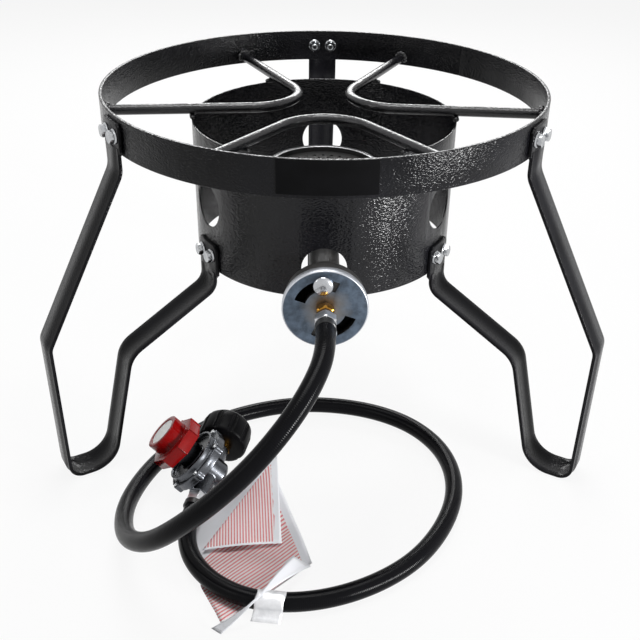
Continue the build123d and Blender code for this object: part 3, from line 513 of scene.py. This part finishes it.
fit("burner_bolt.plated", stack_bolt, zinc_bright, "stand", "burner_bolt")
stack_nut = turned("burner_nut", nut_rows)
stack_nut.transform(facing((0, burner_y, strap_low), (0, 0, -1)))
fit("burner_nut.plated", stack_nut, zinc_bright, "stand", "burner_nut")

# Air shutter: a pressed cup of zinc-plated sheet that turns in front of the bell. Its blue passivation is
# mottled and turns a paler grey round the middle, and the pressed rim is a bright grey.
shutter_low, shutter_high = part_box("air_shutter")
tube_z = (shutter_low.z + shutter_high.z) / 2
cup_r = (shutter_high.z - shutter_low.z) / 2
PALER_FROM = 0.022
PALER_TO = 0.006
RIM_WIDE = 0.0014
RIM_FULL = 0.0008
cup = Finish("zinc_blue", {"Metallic": 1.0})
from_axis = cup.vector("SUBTRACT", cup.place, (0, shutter_low.y, tube_z))
flat = cup.vector("MULTIPLY", from_axis, (1, 0, 1))
off_axis = cup.vector("LENGTH", flat, out="Value")
mottle = cup.noise(0.007, 5.0, 0.6)
blue = cup.mix(cup.ramp(mottle, 0.35, 0.65), (0.065, 0.082, 0.105, 1), (0.120, 0.155, 0.205, 1))
paler_middle = cup.ramp(off_axis + (cup.noise(0.012) - 0.5) * 0.012, PALER_FROM, PALER_TO)
face_colour = cup.mix(paler_middle, blue, (0.21, 0.20, 0.19, 1))
rim_mask = cup.ramp(off_axis, cup_r - RIM_WIDE, cup_r - RIM_FULL)
zinc_blue = cup.feed(
    Base_Color=cup.mix(rim_mask, face_colour, (0.54, 0.56, 0.60, 1)),
    Roughness=0.40 + (mottle - 0.5) * 0.25,
    Normal=cup.bump(cup.noise(0.0008), 0.00001),
)
eased("air_shutter", zinc_blue, round_off=0.0004, body="shutter")

# Shutter screws: two plated screws with wide smooth domes and a small dimple in the middle. They are driven
# into the bell and stand in the shutter's arc slots.
screws_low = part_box("shutter_screws")[0]
DOME_R = 0.0084
DOME_HIGH = 0.0040
DOME_LIP = 0.0005
DOME_STEPS = 8
SLOT_R = 0.0217
SCREW_TURNS = (95.0, 275.0)
dome_rows = [(0, -0.006), (0.0024, -0.006), (0.0024, 0), (DOME_R - 0.0003, 0), (DOME_R, DOME_LIP)]
for step in range(1, DOME_STEPS + 1):
    lean = step / DOME_STEPS * math.pi / 2
    dome_rows.append((DOME_R * math.cos(lean), DOME_LIP + (DOME_HIGH - DOME_LIP) * math.sin(lean)))
dome_rows[-1:] = [(0.0011, DOME_HIGH - 0.0001), (0.0008, DOME_HIGH - 0.0005), (0, DOME_HIGH - 0.0006)]
zinc_polished = plating("zinc_polished", dark=(0.38, 0.39, 0.41), light=(0.55, 0.56, 0.58), gloss=0.24)
domes = bmesh.new()
for turn in SCREW_TURNS:
    spot = Vector((math.cos(math.radians(turn)), 0, math.sin(math.radians(turn)))) * SLOT_R
    dome = turned("dome", dome_rows)
    dome.transform(facing(spot + Vector((0, screws_low.y + DOME_HIGH, tube_z)), (0, -1, 0)))
    domes.from_mesh(dome)
    bpy.data.meshes.remove(dome)
dome_mesh = smooth_mesh("shutter_screws", domes)
dome_mesh.set_sharp_from_angle(angle=SHARP_EDGE)
fit("shutter_screws.polished", dome_mesh, zinc_polished, "stand", "shutter_screws")


# Orifice fitting and hose coupling: a turned brass hex screwed into the bell, and the plated hex nut on it,
# with the blackened collar that is crimped over the end of the hose.
def plastic(name, dark, light, gloss, depth, shine=0.5):
    """Moulded plastic or rubber with a fine skin."""
    skin = Finish(name, {"Specular IOR Level": shine})
    cloud = skin.noise(0.01, 3.0)
    fine = skin.noise(0.0006, 1.0)
    return skin.feed(
        Base_Color=skin.mix(cloud, (*dark, 1), (*light, 1)),
        Roughness=gloss + (cloud - 0.5) * 0.12,
        Normal=skin.bump(fine, depth),
    )


ferrule_black = plastic(
    "ferrule_black", (0.006, 0.006, 0.006), (0.011, 0.011, 0.012), gloss=0.3, depth=0.00001
)
brass_yellow = plating("brass_yellow", dark=(0.26, 0.12, 0.018), light=(0.46, 0.24, 0.045), gloss=0.22)
coupling_low, coupling_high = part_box("hose_coupling")
BRASS_AF = 0.014
spud_rows = [
    (0, -0.0368), (0.0025, -0.0368), (0.0050, -0.0328), (0.0050, -0.0166),
    (0.0065, -0.0166), (0.0065, -0.0149), (0.0072, -0.0148, BRASS_AF), (0.0081, -0.0138, BRASS_AF),
    (0.0081, -0.0086, BRASS_AF), (0.0068, -0.0076, BRASS_AF), (0.0060, -0.0072), (0.0060, -0.0058),
    (0.0068, -0.0054, BRASS_AF), (0.0081, -0.0044, BRASS_AF), (0.0081, -0.0010, BRASS_AF),
    (0.0070, -0.0001, BRASS_AF), (0.0050, -0.0001), (0.0050, 0.0070), (0, 0.0070),
]
brass_mesh = turned("orifice_fitting", spud_rows)
brass_mesh.transform(facing((0, coupling_high.y, tube_z), (0, -1, 0)))
fit("orifice_fitting.brass", brass_mesh, brass_yellow, "stand", "orifice_fitting")
NUT_AF = 0.017
COLLAR_START = 0.0100
COLLAR_END = 0.0176
COLLAR_RIB = [(0.0081, 0), (0.0085, 0.0004), (0.0085, 0.0017), (0.0081, 0.0021)]
FIRST_RIB = 0.0101
RIB_STEP = 0.0025
coupling_rows = [
    (0, 0.0001), (0.0078, 0.0001), (0.0088, 0.0007, NUT_AF), (0.0098, 0.0013, NUT_AF),
    (0.0098, 0.0088, NUT_AF), (0.0088, 0.0098, NUT_AF), (0.0080, COLLAR_START),
]
for rib in range(3):
    rib_low = FIRST_RIB + rib * RIB_STEP
    coupling_rows += [(radius, rib_low + rise) for radius, rise in COLLAR_RIB]
coupling_rows += [(0.0070, COLLAR_END), (0, COLLAR_END)]
coupling_mesh = turned("hose_coupling", coupling_rows)
coupling_mesh.transform(facing((0, coupling_high.y, tube_z), (0, -1, 0)))
zinc_satin = plating("zinc_satin", dark=(0.52, 0.53, 0.55), light=(0.78, 0.78, 0.80), gloss=0.32)
coupling = fit("hose_coupling.plated", coupling_mesh, zinc_satin, "stand", "hose_coupling")
coupling_mesh.materials.append(ferrule_black)
for face in coupling_mesh.polygons:
    face.material_index = int(face.center.y < coupling_high.y - COLLAR_START)

# Gas hose: black rubber over braid, 16 mm outside, from the coupling in a loop down to the floor, round
# under the stove and back to the regulator. The braid shows as fine ribs, and a dotted line of dents with
# painted highlights runs along it.
HOSE_R = 0.008
HOSE_LEAD = 0.022
HOSE_END = 0.0465
HOSE_TAIL = 0.018
hose_start = (0, coupling_low.y, tube_z)
# The regulator's middle, the line from hose to hand nut through it, and the line of its knob.
regulator = Vector((-0.105, burner_y - 0.1615, 0.0191825))
port_axis = Vector((0.238604, 0.956989, 0.165048))
knob_axis = Vector((-0.702746, 0.052854, 0.709474))
hose_end = regulator - port_axis * HOSE_END
hose_tail = regulator - port_axis * (HOSE_END + HOSE_TAIL)
# The bends between both ends, in millimetres from the burner's axis and the floor.
route = [
    (-5, -273, 202.5), (-22, -303, 186), (-49, -325, 160), (-78, -334, 133), (-107, -330, 103.5),
    (-133, -315, 73.5), (-155, -289, 50), (-169, -254, 31.5), (-175, -213, 19.5), (-170, -171, 12.5),
    (-156, -131, 9), (-132, -96, 8.5), (-102, -68, 8.5), (-64, -49, 8.5), (-23, -39, 8.5), (20, -41, 8.5),
    (60, -53, 8.5), (94, -76, 8.5), (117, -110, 8.5), (126, -149, 8.5), (122, -190, 8.5), (105, -231, 8.5),
    (80, -266, 8.5), (47, -292, 8.5), (9, -309, 8.5), (-29, -315, 8.5), (-64, -309.5, 8.5),
    (-94, -290.5, 8.5), (-114.5, -261, 8.5),
]
controls = [Vector(hose_start), Vector(hose_start) + Vector((0, -HOSE_LEAD, 0))]
controls += [Vector((x / 1000, y / 1000 + burner_y, z / 1000)) for x, y, z in route]
controls += [hose_tail, hose_end]
hose_line = bpy.data.curves.new("hose_line", "CURVE")
hose_line.dimensions = "3D"
hose_line.resolution_u = 10
spline = hose_line.splines.new("NURBS")
spline.points.add(len(controls) - 1)
for point, spot in zip(spline.points, controls):
    point.co = (*spot, 1)
spline.order_u = 3
spline.use_endpoint_u = True
line_object = stand_in_scene("hose_line", hose_line)
line_mesh = bpy.data.meshes.new_from_object(line_object)
bpy.data.objects.remove(line_object)
hose_path = [vertex.co.copy() for vertex in line_mesh.vertices]
RIB_PITCH = 0.0016
DASH_PITCH = 0.004
DASH_LONG = 0.6
DASH_PLACE = 0.30
DASH_WIDE = 0.018
rubber = Finish("hose_black", {"Specular IOR Level": 0.07})
lie = rubber.node("ShaderNodeTexCoord", {}, {}, "UV")
around = rubber.part(lie, 0)
along = rubber.part(lie, 1)
sweat = rubber.noise(0.02, 3.0)
ribs = (along * (2 * math.pi / RIB_PITCH)).shaped("SINE")
dash = (along / DASH_PITCH).shaped("FRACT") < DASH_LONG
# Each dot is a small dent in the bump, and its lighter colour is a painted highlight on the lit side of the
# hose.
dotted_dents_and_glints = dash * ((around - DASH_PLACE).shaped("ABSOLUTE") < DASH_WIDE)
hose_colour = rubber.mix(sweat, (0.002, 0.002, 0.003, 1), (0.005, 0.005, 0.006, 1))
hose_black = rubber.feed(
    Base_Color=rubber.mix(dotted_dents_and_glints, hose_colour, (0.035, 0.035, 0.038, 1)),
    Roughness=0.14 + sweat * 0.10,
    Normal=rubber.bump(ribs * 0.5 + sweat * 0.3 - dotted_dents_and_glints * 1.2, 0.00008),
)
drawing = Recipe("hose_recipe", "Radius")
run = drawing.node("GeometryNodeMeshToCurve", {}, {0: drawing.given("Geometry")})
level_run = drawing.node("GeometryNodeSetCurveNormal", {"mode": "Z_UP"}, {0: run})
metres = drawing.node("GeometryNodeSplineParameter", {}, {}, "Length")
marked_run, run_length = drawing.keep(level_run, metres)
hose_r = drawing.given("Radius")
section = drawing.node("GeometryNodeCurvePrimitiveCircle", {}, {"Resolution": 28, "Radius": hose_r})
share_round = drawing.node("GeometryNodeSplineParameter", {}, {})
marked_section, section_share = drawing.keep(section, share_round)
tube = drawing.node("GeometryNodeCurveToMesh", {}, {"Curve": marked_run, "Profile Curve": marked_section})
chart = drawing.node("ShaderNodeCombineXYZ", {}, {0: section_share, 1: run_length})
charted = drawing.node(
    "GeometryNodeStoreNamedAttribute",
    {"data_type": "FLOAT2", "domain": "CORNER"},
    {"Geometry": tube, "Name": "UVMap", "Value": chart},
)
smooth_tube = drawing.node("GeometryNodeSetShadeSmooth", {}, {0: charted})
hose_mesh = drawing.run(smooth_tube, line_mesh, hose_black, Radius=HOSE_R)
hose = fit("gas_hose.rubber", hose_mesh, hose_black, "stand", "gas_hose")

# Foil label: a strip of plain silver foil, wrapped over the hose at the front and stuck to itself as a
# short flag that lies on the floor.
foil = Finish("foil_silver", {"Metallic": 1.0})
crease = foil.noise(0.006, 3.0, 0.55)
foil_silver = foil.feed(
    Base_Color=foil.mix(crease, (0.58, 0.59, 0.61, 1), (0.80, 0.80, 0.81, 1)),
    Roughness=0.42 + crease * 0.2,
    Normal=foil.bump(crease, 0.0004),
)
foil_low, foil_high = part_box("foil_sleeve")
foil_mid = (foil_low + foil_high) / 2
nearest = min(range(1, len(hose_path) - 1), key=lambda step: (hose_path[step] - foil_mid).length)
foil_axis = (hose_path[nearest + 1] - hose_path[nearest - 1]).normalized()
foil_out = Vector((foil_axis.y, -foil_axis.x, 0))
if foil_out.y > 0:
    foil_out = -foil_out
if foil_axis.x < 0:
    foil_axis = -foil_axis
FOIL_THICK = 0.0002
FOIL_WIDE = 0.0235
FOIL_SLANT = 0.003
FOIL_SHIFT = 0.0025
FOIL_OFF_HOSE = 0.0006
FOIL_RIPPLE = 0.00025
FOIL_WAVE = 0.0004
FOIL_STEPS = 12
wrap_r = HOSE_R + FOIL_OFF_HOSE
wrap_turns = [math.radians(200 - 10 * step) for step in range(22)]
outline = [(wrap_r * math.cos(turn), wrap_r * math.sin(turn)) for turn in wrap_turns]
outline += [(wrap_r + 0.0012, -0.0035), (wrap_r + 0.0040, -0.0062), (wrap_r + 0.0075, -0.0071)]
foil_shape = bmesh.new()
rows = []
for step in range(FOIL_STEPS + 1):
    shift = FOIL_SHIFT + (step / FOIL_STEPS - 0.5) * FOIL_WIDE
    row = []
    for count, (out, rise) in enumerate(outline):
        ripple = FOIL_RIPPLE * math.sin(step * 1.3 + count * 0.9)
        slant = FOIL_SLANT * (count / len(outline)) ** 2
        slip = shift - slant + FOIL_WAVE * math.sin(count * 0.7)
        spot = hose_path[nearest] + foil_axis * slip + foil_out * (out + ripple)
        row.append(foil_shape.verts.new((spot.x, spot.y, hose_path[nearest].z + rise + ripple)))
    rows.append(row)
for low, high in zip(rows, rows[1:]):
    for count in range(len(outline) - 1):
        foil_shape.faces.new((low[count], low[count + 1], high[count + 1], high[count]))
bmesh.ops.recalc_face_normals(foil_shape, faces=foil_shape.faces)
foil_mesh = smooth_mesh("foil_sleeve", foil_shape)
foil_piece = fit("foil_sleeve.foil", foil_mesh, foil_silver, "stand", "foil_sleeve")
foil_wall = foil_piece.modifiers.new("foil", "SOLIDIFY")
foil_wall.thickness = FOIL_THICK
foil_wall.offset = 1.0

# Paper tag: a long sheet of thin paper with plain ruled lines, laid under the hose with its upper corner
# folded back over it. A plain twisted strip of the same paper lies across the hose at the lower end.
PAPER_THICK = 0.00012
CLEAR_OF_HOSE = 0.012
HEAD_MARGIN = 0.046
FOLD_AT = 0.076
FOOT_DEEP = 0.053
FLAP_DEEP = 0.068
FLAP_MARGIN = 0.006
LINE_THICK = 0.46
LINE_PITCH = {"sheet": 0.0037, "flap": 0.0025}
paper_shape = bmesh.new()
line_place = paper_shape.verts.layers.float.new("line")
print_share = paper_shape.verts.layers.float.new("print")
floor_run = [spot for spot in hose_path if spot.z < 2 * HOSE_R]


def paper_grid(corners, across, down, rise, ruled):
    """Adds a patch of paper between four corners in millimetres, lifted and ruled over its two shares."""
    first, second, third, fourth = (Vector(spot) / 1000 + Vector((0, burner_y, 0)) for spot in corners)
    rows = []
    for step in range(down + 1):
        share = step / down
        row = []
        for count in range(across + 1):
            over = count / across
            spot = first.lerp(fourth, share).lerp(second.lerp(third, share), over)
            beside = min((spot.xy - run.xy).length for run in floor_run)
            room = min(max((beside - HOSE_R) / CLEAR_OF_HOSE, 0), 1) if spot.z < 0.001 else 1
            made = paper_shape.verts.new((spot.x, spot.y, spot.z + rise(over, share) * room))
            made[line_place], made[print_share] = ruled(over, share)
            row.append(made)
        rows.append(row)
    for low, high in zip(rows, rows[1:]):
        for count in range(across):
            paper_shape.faces.new((low[count], low[count + 1], high[count + 1], high[count]))


def sheet_lines(start, deep):
    """Lines across the sheet, with plain margins at its right edge and above the first line."""
    def ruled(over, share):
        place = (start + deep * share) / LINE_PITCH["sheet"]
        return place, float(over < 0.91 and start + deep * share > HEAD_MARGIN)
    return ruled


def flap_lines(over, share):
    """Lines along the folded corner, with plain margins at its fold and its lower edge."""
    across = (1 - over) * share * FLAP_DEEP
    return across / LINE_PITCH["flap"], float(across > FLAP_MARGIN and share < 0.96)


def plain(over, share):
    """No lines."""
    return 0.0, 0.0


paper_grid(
    [(-117, -222, 0.3), (-55, -116, 0.3), (-24, -211, 0.3), (-101, -290, 0.3)],
    across=28,
    down=20,
    rise=lambda over, share: 0.0012 * (1 + math.sin(over * 7 + share * 3)) * math.sin(share * math.pi),
    ruled=sheet_lines(0.0, FOLD_AT),
)
paper_grid(
    [(-101, -290, 0.3), (-24, -211, 0.3), (-9, -262, 0.3), (-80, -331, 0.3)],
    across=28,
    down=14,
    rise=lambda over, share: 0.0010 * (1 + math.sin(over * 6 + 1)) * math.sin(share * math.pi),
    ruled=sheet_lines(FOLD_AT, FOOT_DEEP),
)
paper_grid(
    [(-44.6, -125, 7), (-43.4, -125, 7), (-35.4, -241.5, 3.5), (-103.7, -252, 5)],
    across=24,
    down=24,
    rise=lambda over, share: 0.0016 * math.sin(over * math.pi) * share,
    ruled=flap_lines,
)
strip_left = [(-25.2, -266.2, 13), (-51.0, -315.6, 18.2), (-60.6, -325.8, 17.0), (-88.4, -334.7, 2.0)]
strip_right = [(-9.9, -270.4, 5), (-49.6, -316.4, 17.6), (-58.8, -327.0, 16.4), (-80.3, -339.8, 1.0)]
for stretch, (down, swell) in enumerate(((12, 0.002), (4, 0.0004), (10, -0.0008))):
    paper_grid(
        [strip_left[stretch], strip_right[stretch], strip_right[stretch + 1], strip_left[stretch + 1]],
        across=6,
        down=down,
        rise=lambda over, share: swell * math.sin(share * math.pi),
        ruled=plain,
    )
bmesh.ops.remove_doubles(paper_shape, verts=paper_shape.verts, dist=0.00005)
bmesh.ops.recalc_face_normals(paper_shape, faces=paper_shape.faces)
tag_area = sum(face.calc_area() for face in paper_shape.faces)
tag_mesh = smooth_mesh("paper_tag", paper_shape)
leaf = Finish("paper_white", {"Specular IOR Level": 0.3})
fibre = leaf.noise(0.0015, 3.0)
shade = leaf.noise(0.03, 2.0)
line = leaf.node("ShaderNodeAttribute", {"attribute_name": "line"}, {}, "Fac")
printed = leaf.node("ShaderNodeAttribute", {"attribute_name": "print"}, {}, "Fac") > 0.5
inked = (line.shaped("FRACT") < LINE_THICK) * printed
bare = leaf.mix(shade, (0.76, 0.77, 0.81, 1), (0.84, 0.85, 0.88, 1))
tinted = leaf.mix(shade, (0.78, 0.73, 0.73, 1), (0.86, 0.82, 0.82, 1))
ground_tint = leaf.mix(printed, bare, tinted)
paper_white = leaf.feed(
    Base_Color=leaf.mix(inked * (0.7 + fibre * 0.4), ground_tint, (0.68, 0.16, 0.17, 1)),
    Roughness=0.6 + fibre * 0.2,
    Normal=leaf.bump(fibre, 0.00004),
)
tag = fit("paper_tag.paper", tag_mesh, paper_white, "stand", "paper_tag")
paper_wall = tag.modifiers.new("paper", "SOLIDIFY")
paper_wall.thickness = PAPER_THICK

# Regulator: two die castings screwed together round the diaphragm, satin grey, with painted shade darkening
# the hollow bowl about the neck. A copy of both CAD castings is melted into one softened skin, as a mould
# leaves it.
casting = Finish("cast_grey", {"Metallic": 1.0})
cloud = casting.noise(0.008, 3.0)
fine = casting.noise(0.0009, 2.0)
BOWL_LOW = 0.0190
BOWL_R = 0.0246
from_port = casting.vector("SUBTRACT", casting.place, regulator)
height = casting.vector("DOT_PRODUCT", from_port, knob_axis, out="Value")
reach = casting.vector("LENGTH", from_port, out="Value")
spread = (reach * reach - height * height).shaped("SQRT")
# Painted shade: the hollow bowl about the neck is given a near-black colour, standing in for the shadow
# inside it.
bowl_painted_shade = (height > BOWL_LOW) * (spread < BOWL_R)
cast_colour = casting.mix(cloud, (0.062, 0.066, 0.074, 1), (0.125, 0.130, 0.142, 1))
cast_grey = casting.feed(
    Base_Color=casting.mix(bowl_painted_shade, cast_colour, (0.020, 0.021, 0.024, 1)),
    Roughness=0.26 + (cloud - 0.5) * 0.2,
    Normal=casting.bump(fine, 0.00005),
)
castings = ("regulator_body", "regulator_bonnet")
maker = stand_in_scene("regulator", smooth_mesh("regulator", merged(*castings)))
skin_step = maker.modifiers.new("skin", "REMESH")
skin_step.mode = "VOXEL"
skin_step.voxel_size = 0.0006
soften = maker.modifiers.new("soften", "SMOOTH")
soften.factor = 0.5
soften.iterations = 6
cast_skin = settled(maker)
cast_skin.shade_smooth()
regulator_piece = fit("regulator.cast", cast_skin, cast_grey, "stand", *castings)
repaint(zinc_bright, "bonnet_screws", "diaphragm_plate", "poppet_spring", "spring_button")
outlet = eased("outlet_fitting", zinc_satin, round_off=0.0004)
repaint(ferrule_black, "hose_ferrule")
repaint(brass_yellow, "inlet_nipple", "valve_poppet")
seal_rubber = plastic("seal_rubber", (0.02, 0.02, 0.02), (0.03, 0.03, 0.03), gloss=0.6, depth=0.00003)
repaint(seal_rubber, "diaphragm", "nipple_seal")

# Main spring: a coil of plated wire between the diaphragm's plate and the button under the knob's screw. It
# stands on the plate at one fixed length.
coil_mesh = smooth_mesh("main_spring", merged("main_spring"))
spring = fit("main_spring.coil", coil_mesh, zinc_bright, "stand", "main_spring")
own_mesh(spring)

# Pressure knob: glossy red plastic moulded as a wheel of eight slanted flats with a round crown on it, and
# a plain white disc pressed into the crown.
knob_red = plastic(
    "knob_red", (0.17, 0.0015, 0.002), (0.25, 0.003, 0.003), gloss=0.16, depth=0.00001, shine=0.16
)
knob = eased("pressure_knob", knob_red, round_off=0.0006, body="knob")
insert_white = plastic("insert_white", (0.66, 0.68, 0.67), (0.76, 0.77, 0.76), gloss=0.4, depth=0.00001)
repaint(insert_white, "knob_insert")
repaint(zinc_bright, "adjusting_screw")

# Hand nut: black matte plastic with a domed shoulder and shallow finger grooves, free to turn on the brass
# nipple. It is the last piece on the hose.
nut_black = plastic(
    "nut_black", (0.002, 0.002, 0.002), (0.005, 0.005, 0.006), gloss=0.36, depth=0.00004, shine=0.05
)
nut = eased("hand_nut", nut_black, round_off=0.0004, body="coupling_nut")


# Studio: a pale floor and surround, a broad soft light overhead, one at each side of the front and a long
# one behind, and the photograph's camera.
def background_rays(tree):
    """Rays that should meet the white background: seen directly, mirrored or through glass."""
    seen = tree.node("ShaderNodeLightPath", {}, {}, "Is Camera Ray")
    mirrored = tree.node("ShaderNodeLightPath", {}, {}, "Is Glossy Ray")
    through = tree.node("ShaderNodeLightPath", {}, {}, "Is Transmission Ray")
    return seen + mirrored + through


FLOOR_HALF = 8
FLOOR_WHITE = 0.9
SKY_WHITE = 0.92
SKY_FILL = 0.04
LAMP_AIM = Vector((0, 0, 0.2))
FLOOR_CORNERS = [(-1, -1), (1, -1), (1, 1), (-1, 1)]
ground = bpy.data.meshes.new("floor")
ground.from_pydata([(x * FLOOR_HALF, y * FLOOR_HALF, 0) for x, y in FLOOR_CORNERS], [], [(0, 1, 2, 3)])
floor = stand_in_scene("floor", ground)
card = Finish("floor_paper", {"Roughness": 0.9, "Specular IOR Level": 0.1})
floor_colour = card.mix(card.noise(0.3, 2.0), (0.80, 0.80, 0.80, 1), (0.84, 0.84, 0.84, 1))
ground.materials.append(card.feed(Base_Color=floor_colour))
glow = card.node("ShaderNodeEmission", {}, {"Strength": 1.0})
shown = background_rays(card) * FLOOR_WHITE
lit = Socket(card, card.shader.outputs[0])
both = card.node("ShaderNodeMixShader", {}, {0: shown, 1: lit, 2: glow})
card.tree.links.new(both.socket, card.tree.nodes["Material Output"].inputs["Surface"])

world = bpy.data.worlds.new("studio")
bpy.context.scene.world = world
world.use_nodes = True
world.node_tree.nodes["Background"].inputs["Color"].default_value = (1, 1, 1, 1)
sky = Tree(world.node_tree)
sky_level = background_rays(sky) * SKY_WHITE + SKY_FILL
sky.tree.links.new(sky_level.socket, sky.tree.nodes["Background"].inputs["Strength"])


def soft_box(name, spot, width, height, power):
    """A rectangular lamp of this size in metres and power in watts, turned to the stove."""
    lamp = bpy.data.lights.new(name, "AREA")
    lamp.shape = "RECTANGLE"
    lamp.size = width
    lamp.size_y = height
    lamp.energy = power
    light = stand_in_scene(name, lamp)
    light.location = spot
    light.rotation_euler = (LAMP_AIM - Vector(spot)).to_track_quat("-Z", "Y").to_euler()


soft_box("overhead", (0.0, 0.08, 1.75), width=0.8, height=0.85, power=18.5)
soft_box("right_front", (1.50, -1.10, 0.30), width=0.40, height=0.36, power=42)
soft_box("left_front", (-1.3, -0.7, 0.9), width=0.4, height=0.4, power=2)
soft_box("back", (0.0, 1.5, 1.0), width=1.2, height=0.35, power=18)

camera = bpy.data.cameras.new("photograph")
camera.lens = 52.39
camera.sensor_width = 36
view = stand_in_scene("photograph", camera)
DOWN = math.radians(30.06)
ASIDE = math.radians(0.80)
TILT = math.radians(0.78)
ahead = Vector((math.sin(ASIDE) * math.cos(DOWN), math.cos(ASIDE) * math.cos(DOWN), -math.sin(DOWN)))
level = Vector((math.cos(ASIDE), -math.sin(ASIDE), 0))
above = level.cross(ahead)
right = level * math.cos(TILT) + above * math.sin(TILT)
up = above * math.cos(TILT) - level * math.sin(TILT)
eye = (-0.0132, burner_y - 0.8475, 0.5795)
view.matrix_world = Matrix.Translation(eye) @ Matrix((right, up, -ahead)).transposed().to_4x4()
bpy.context.scene.camera = view
bpy.context.scene.view_settings.view_transform = "Standard"
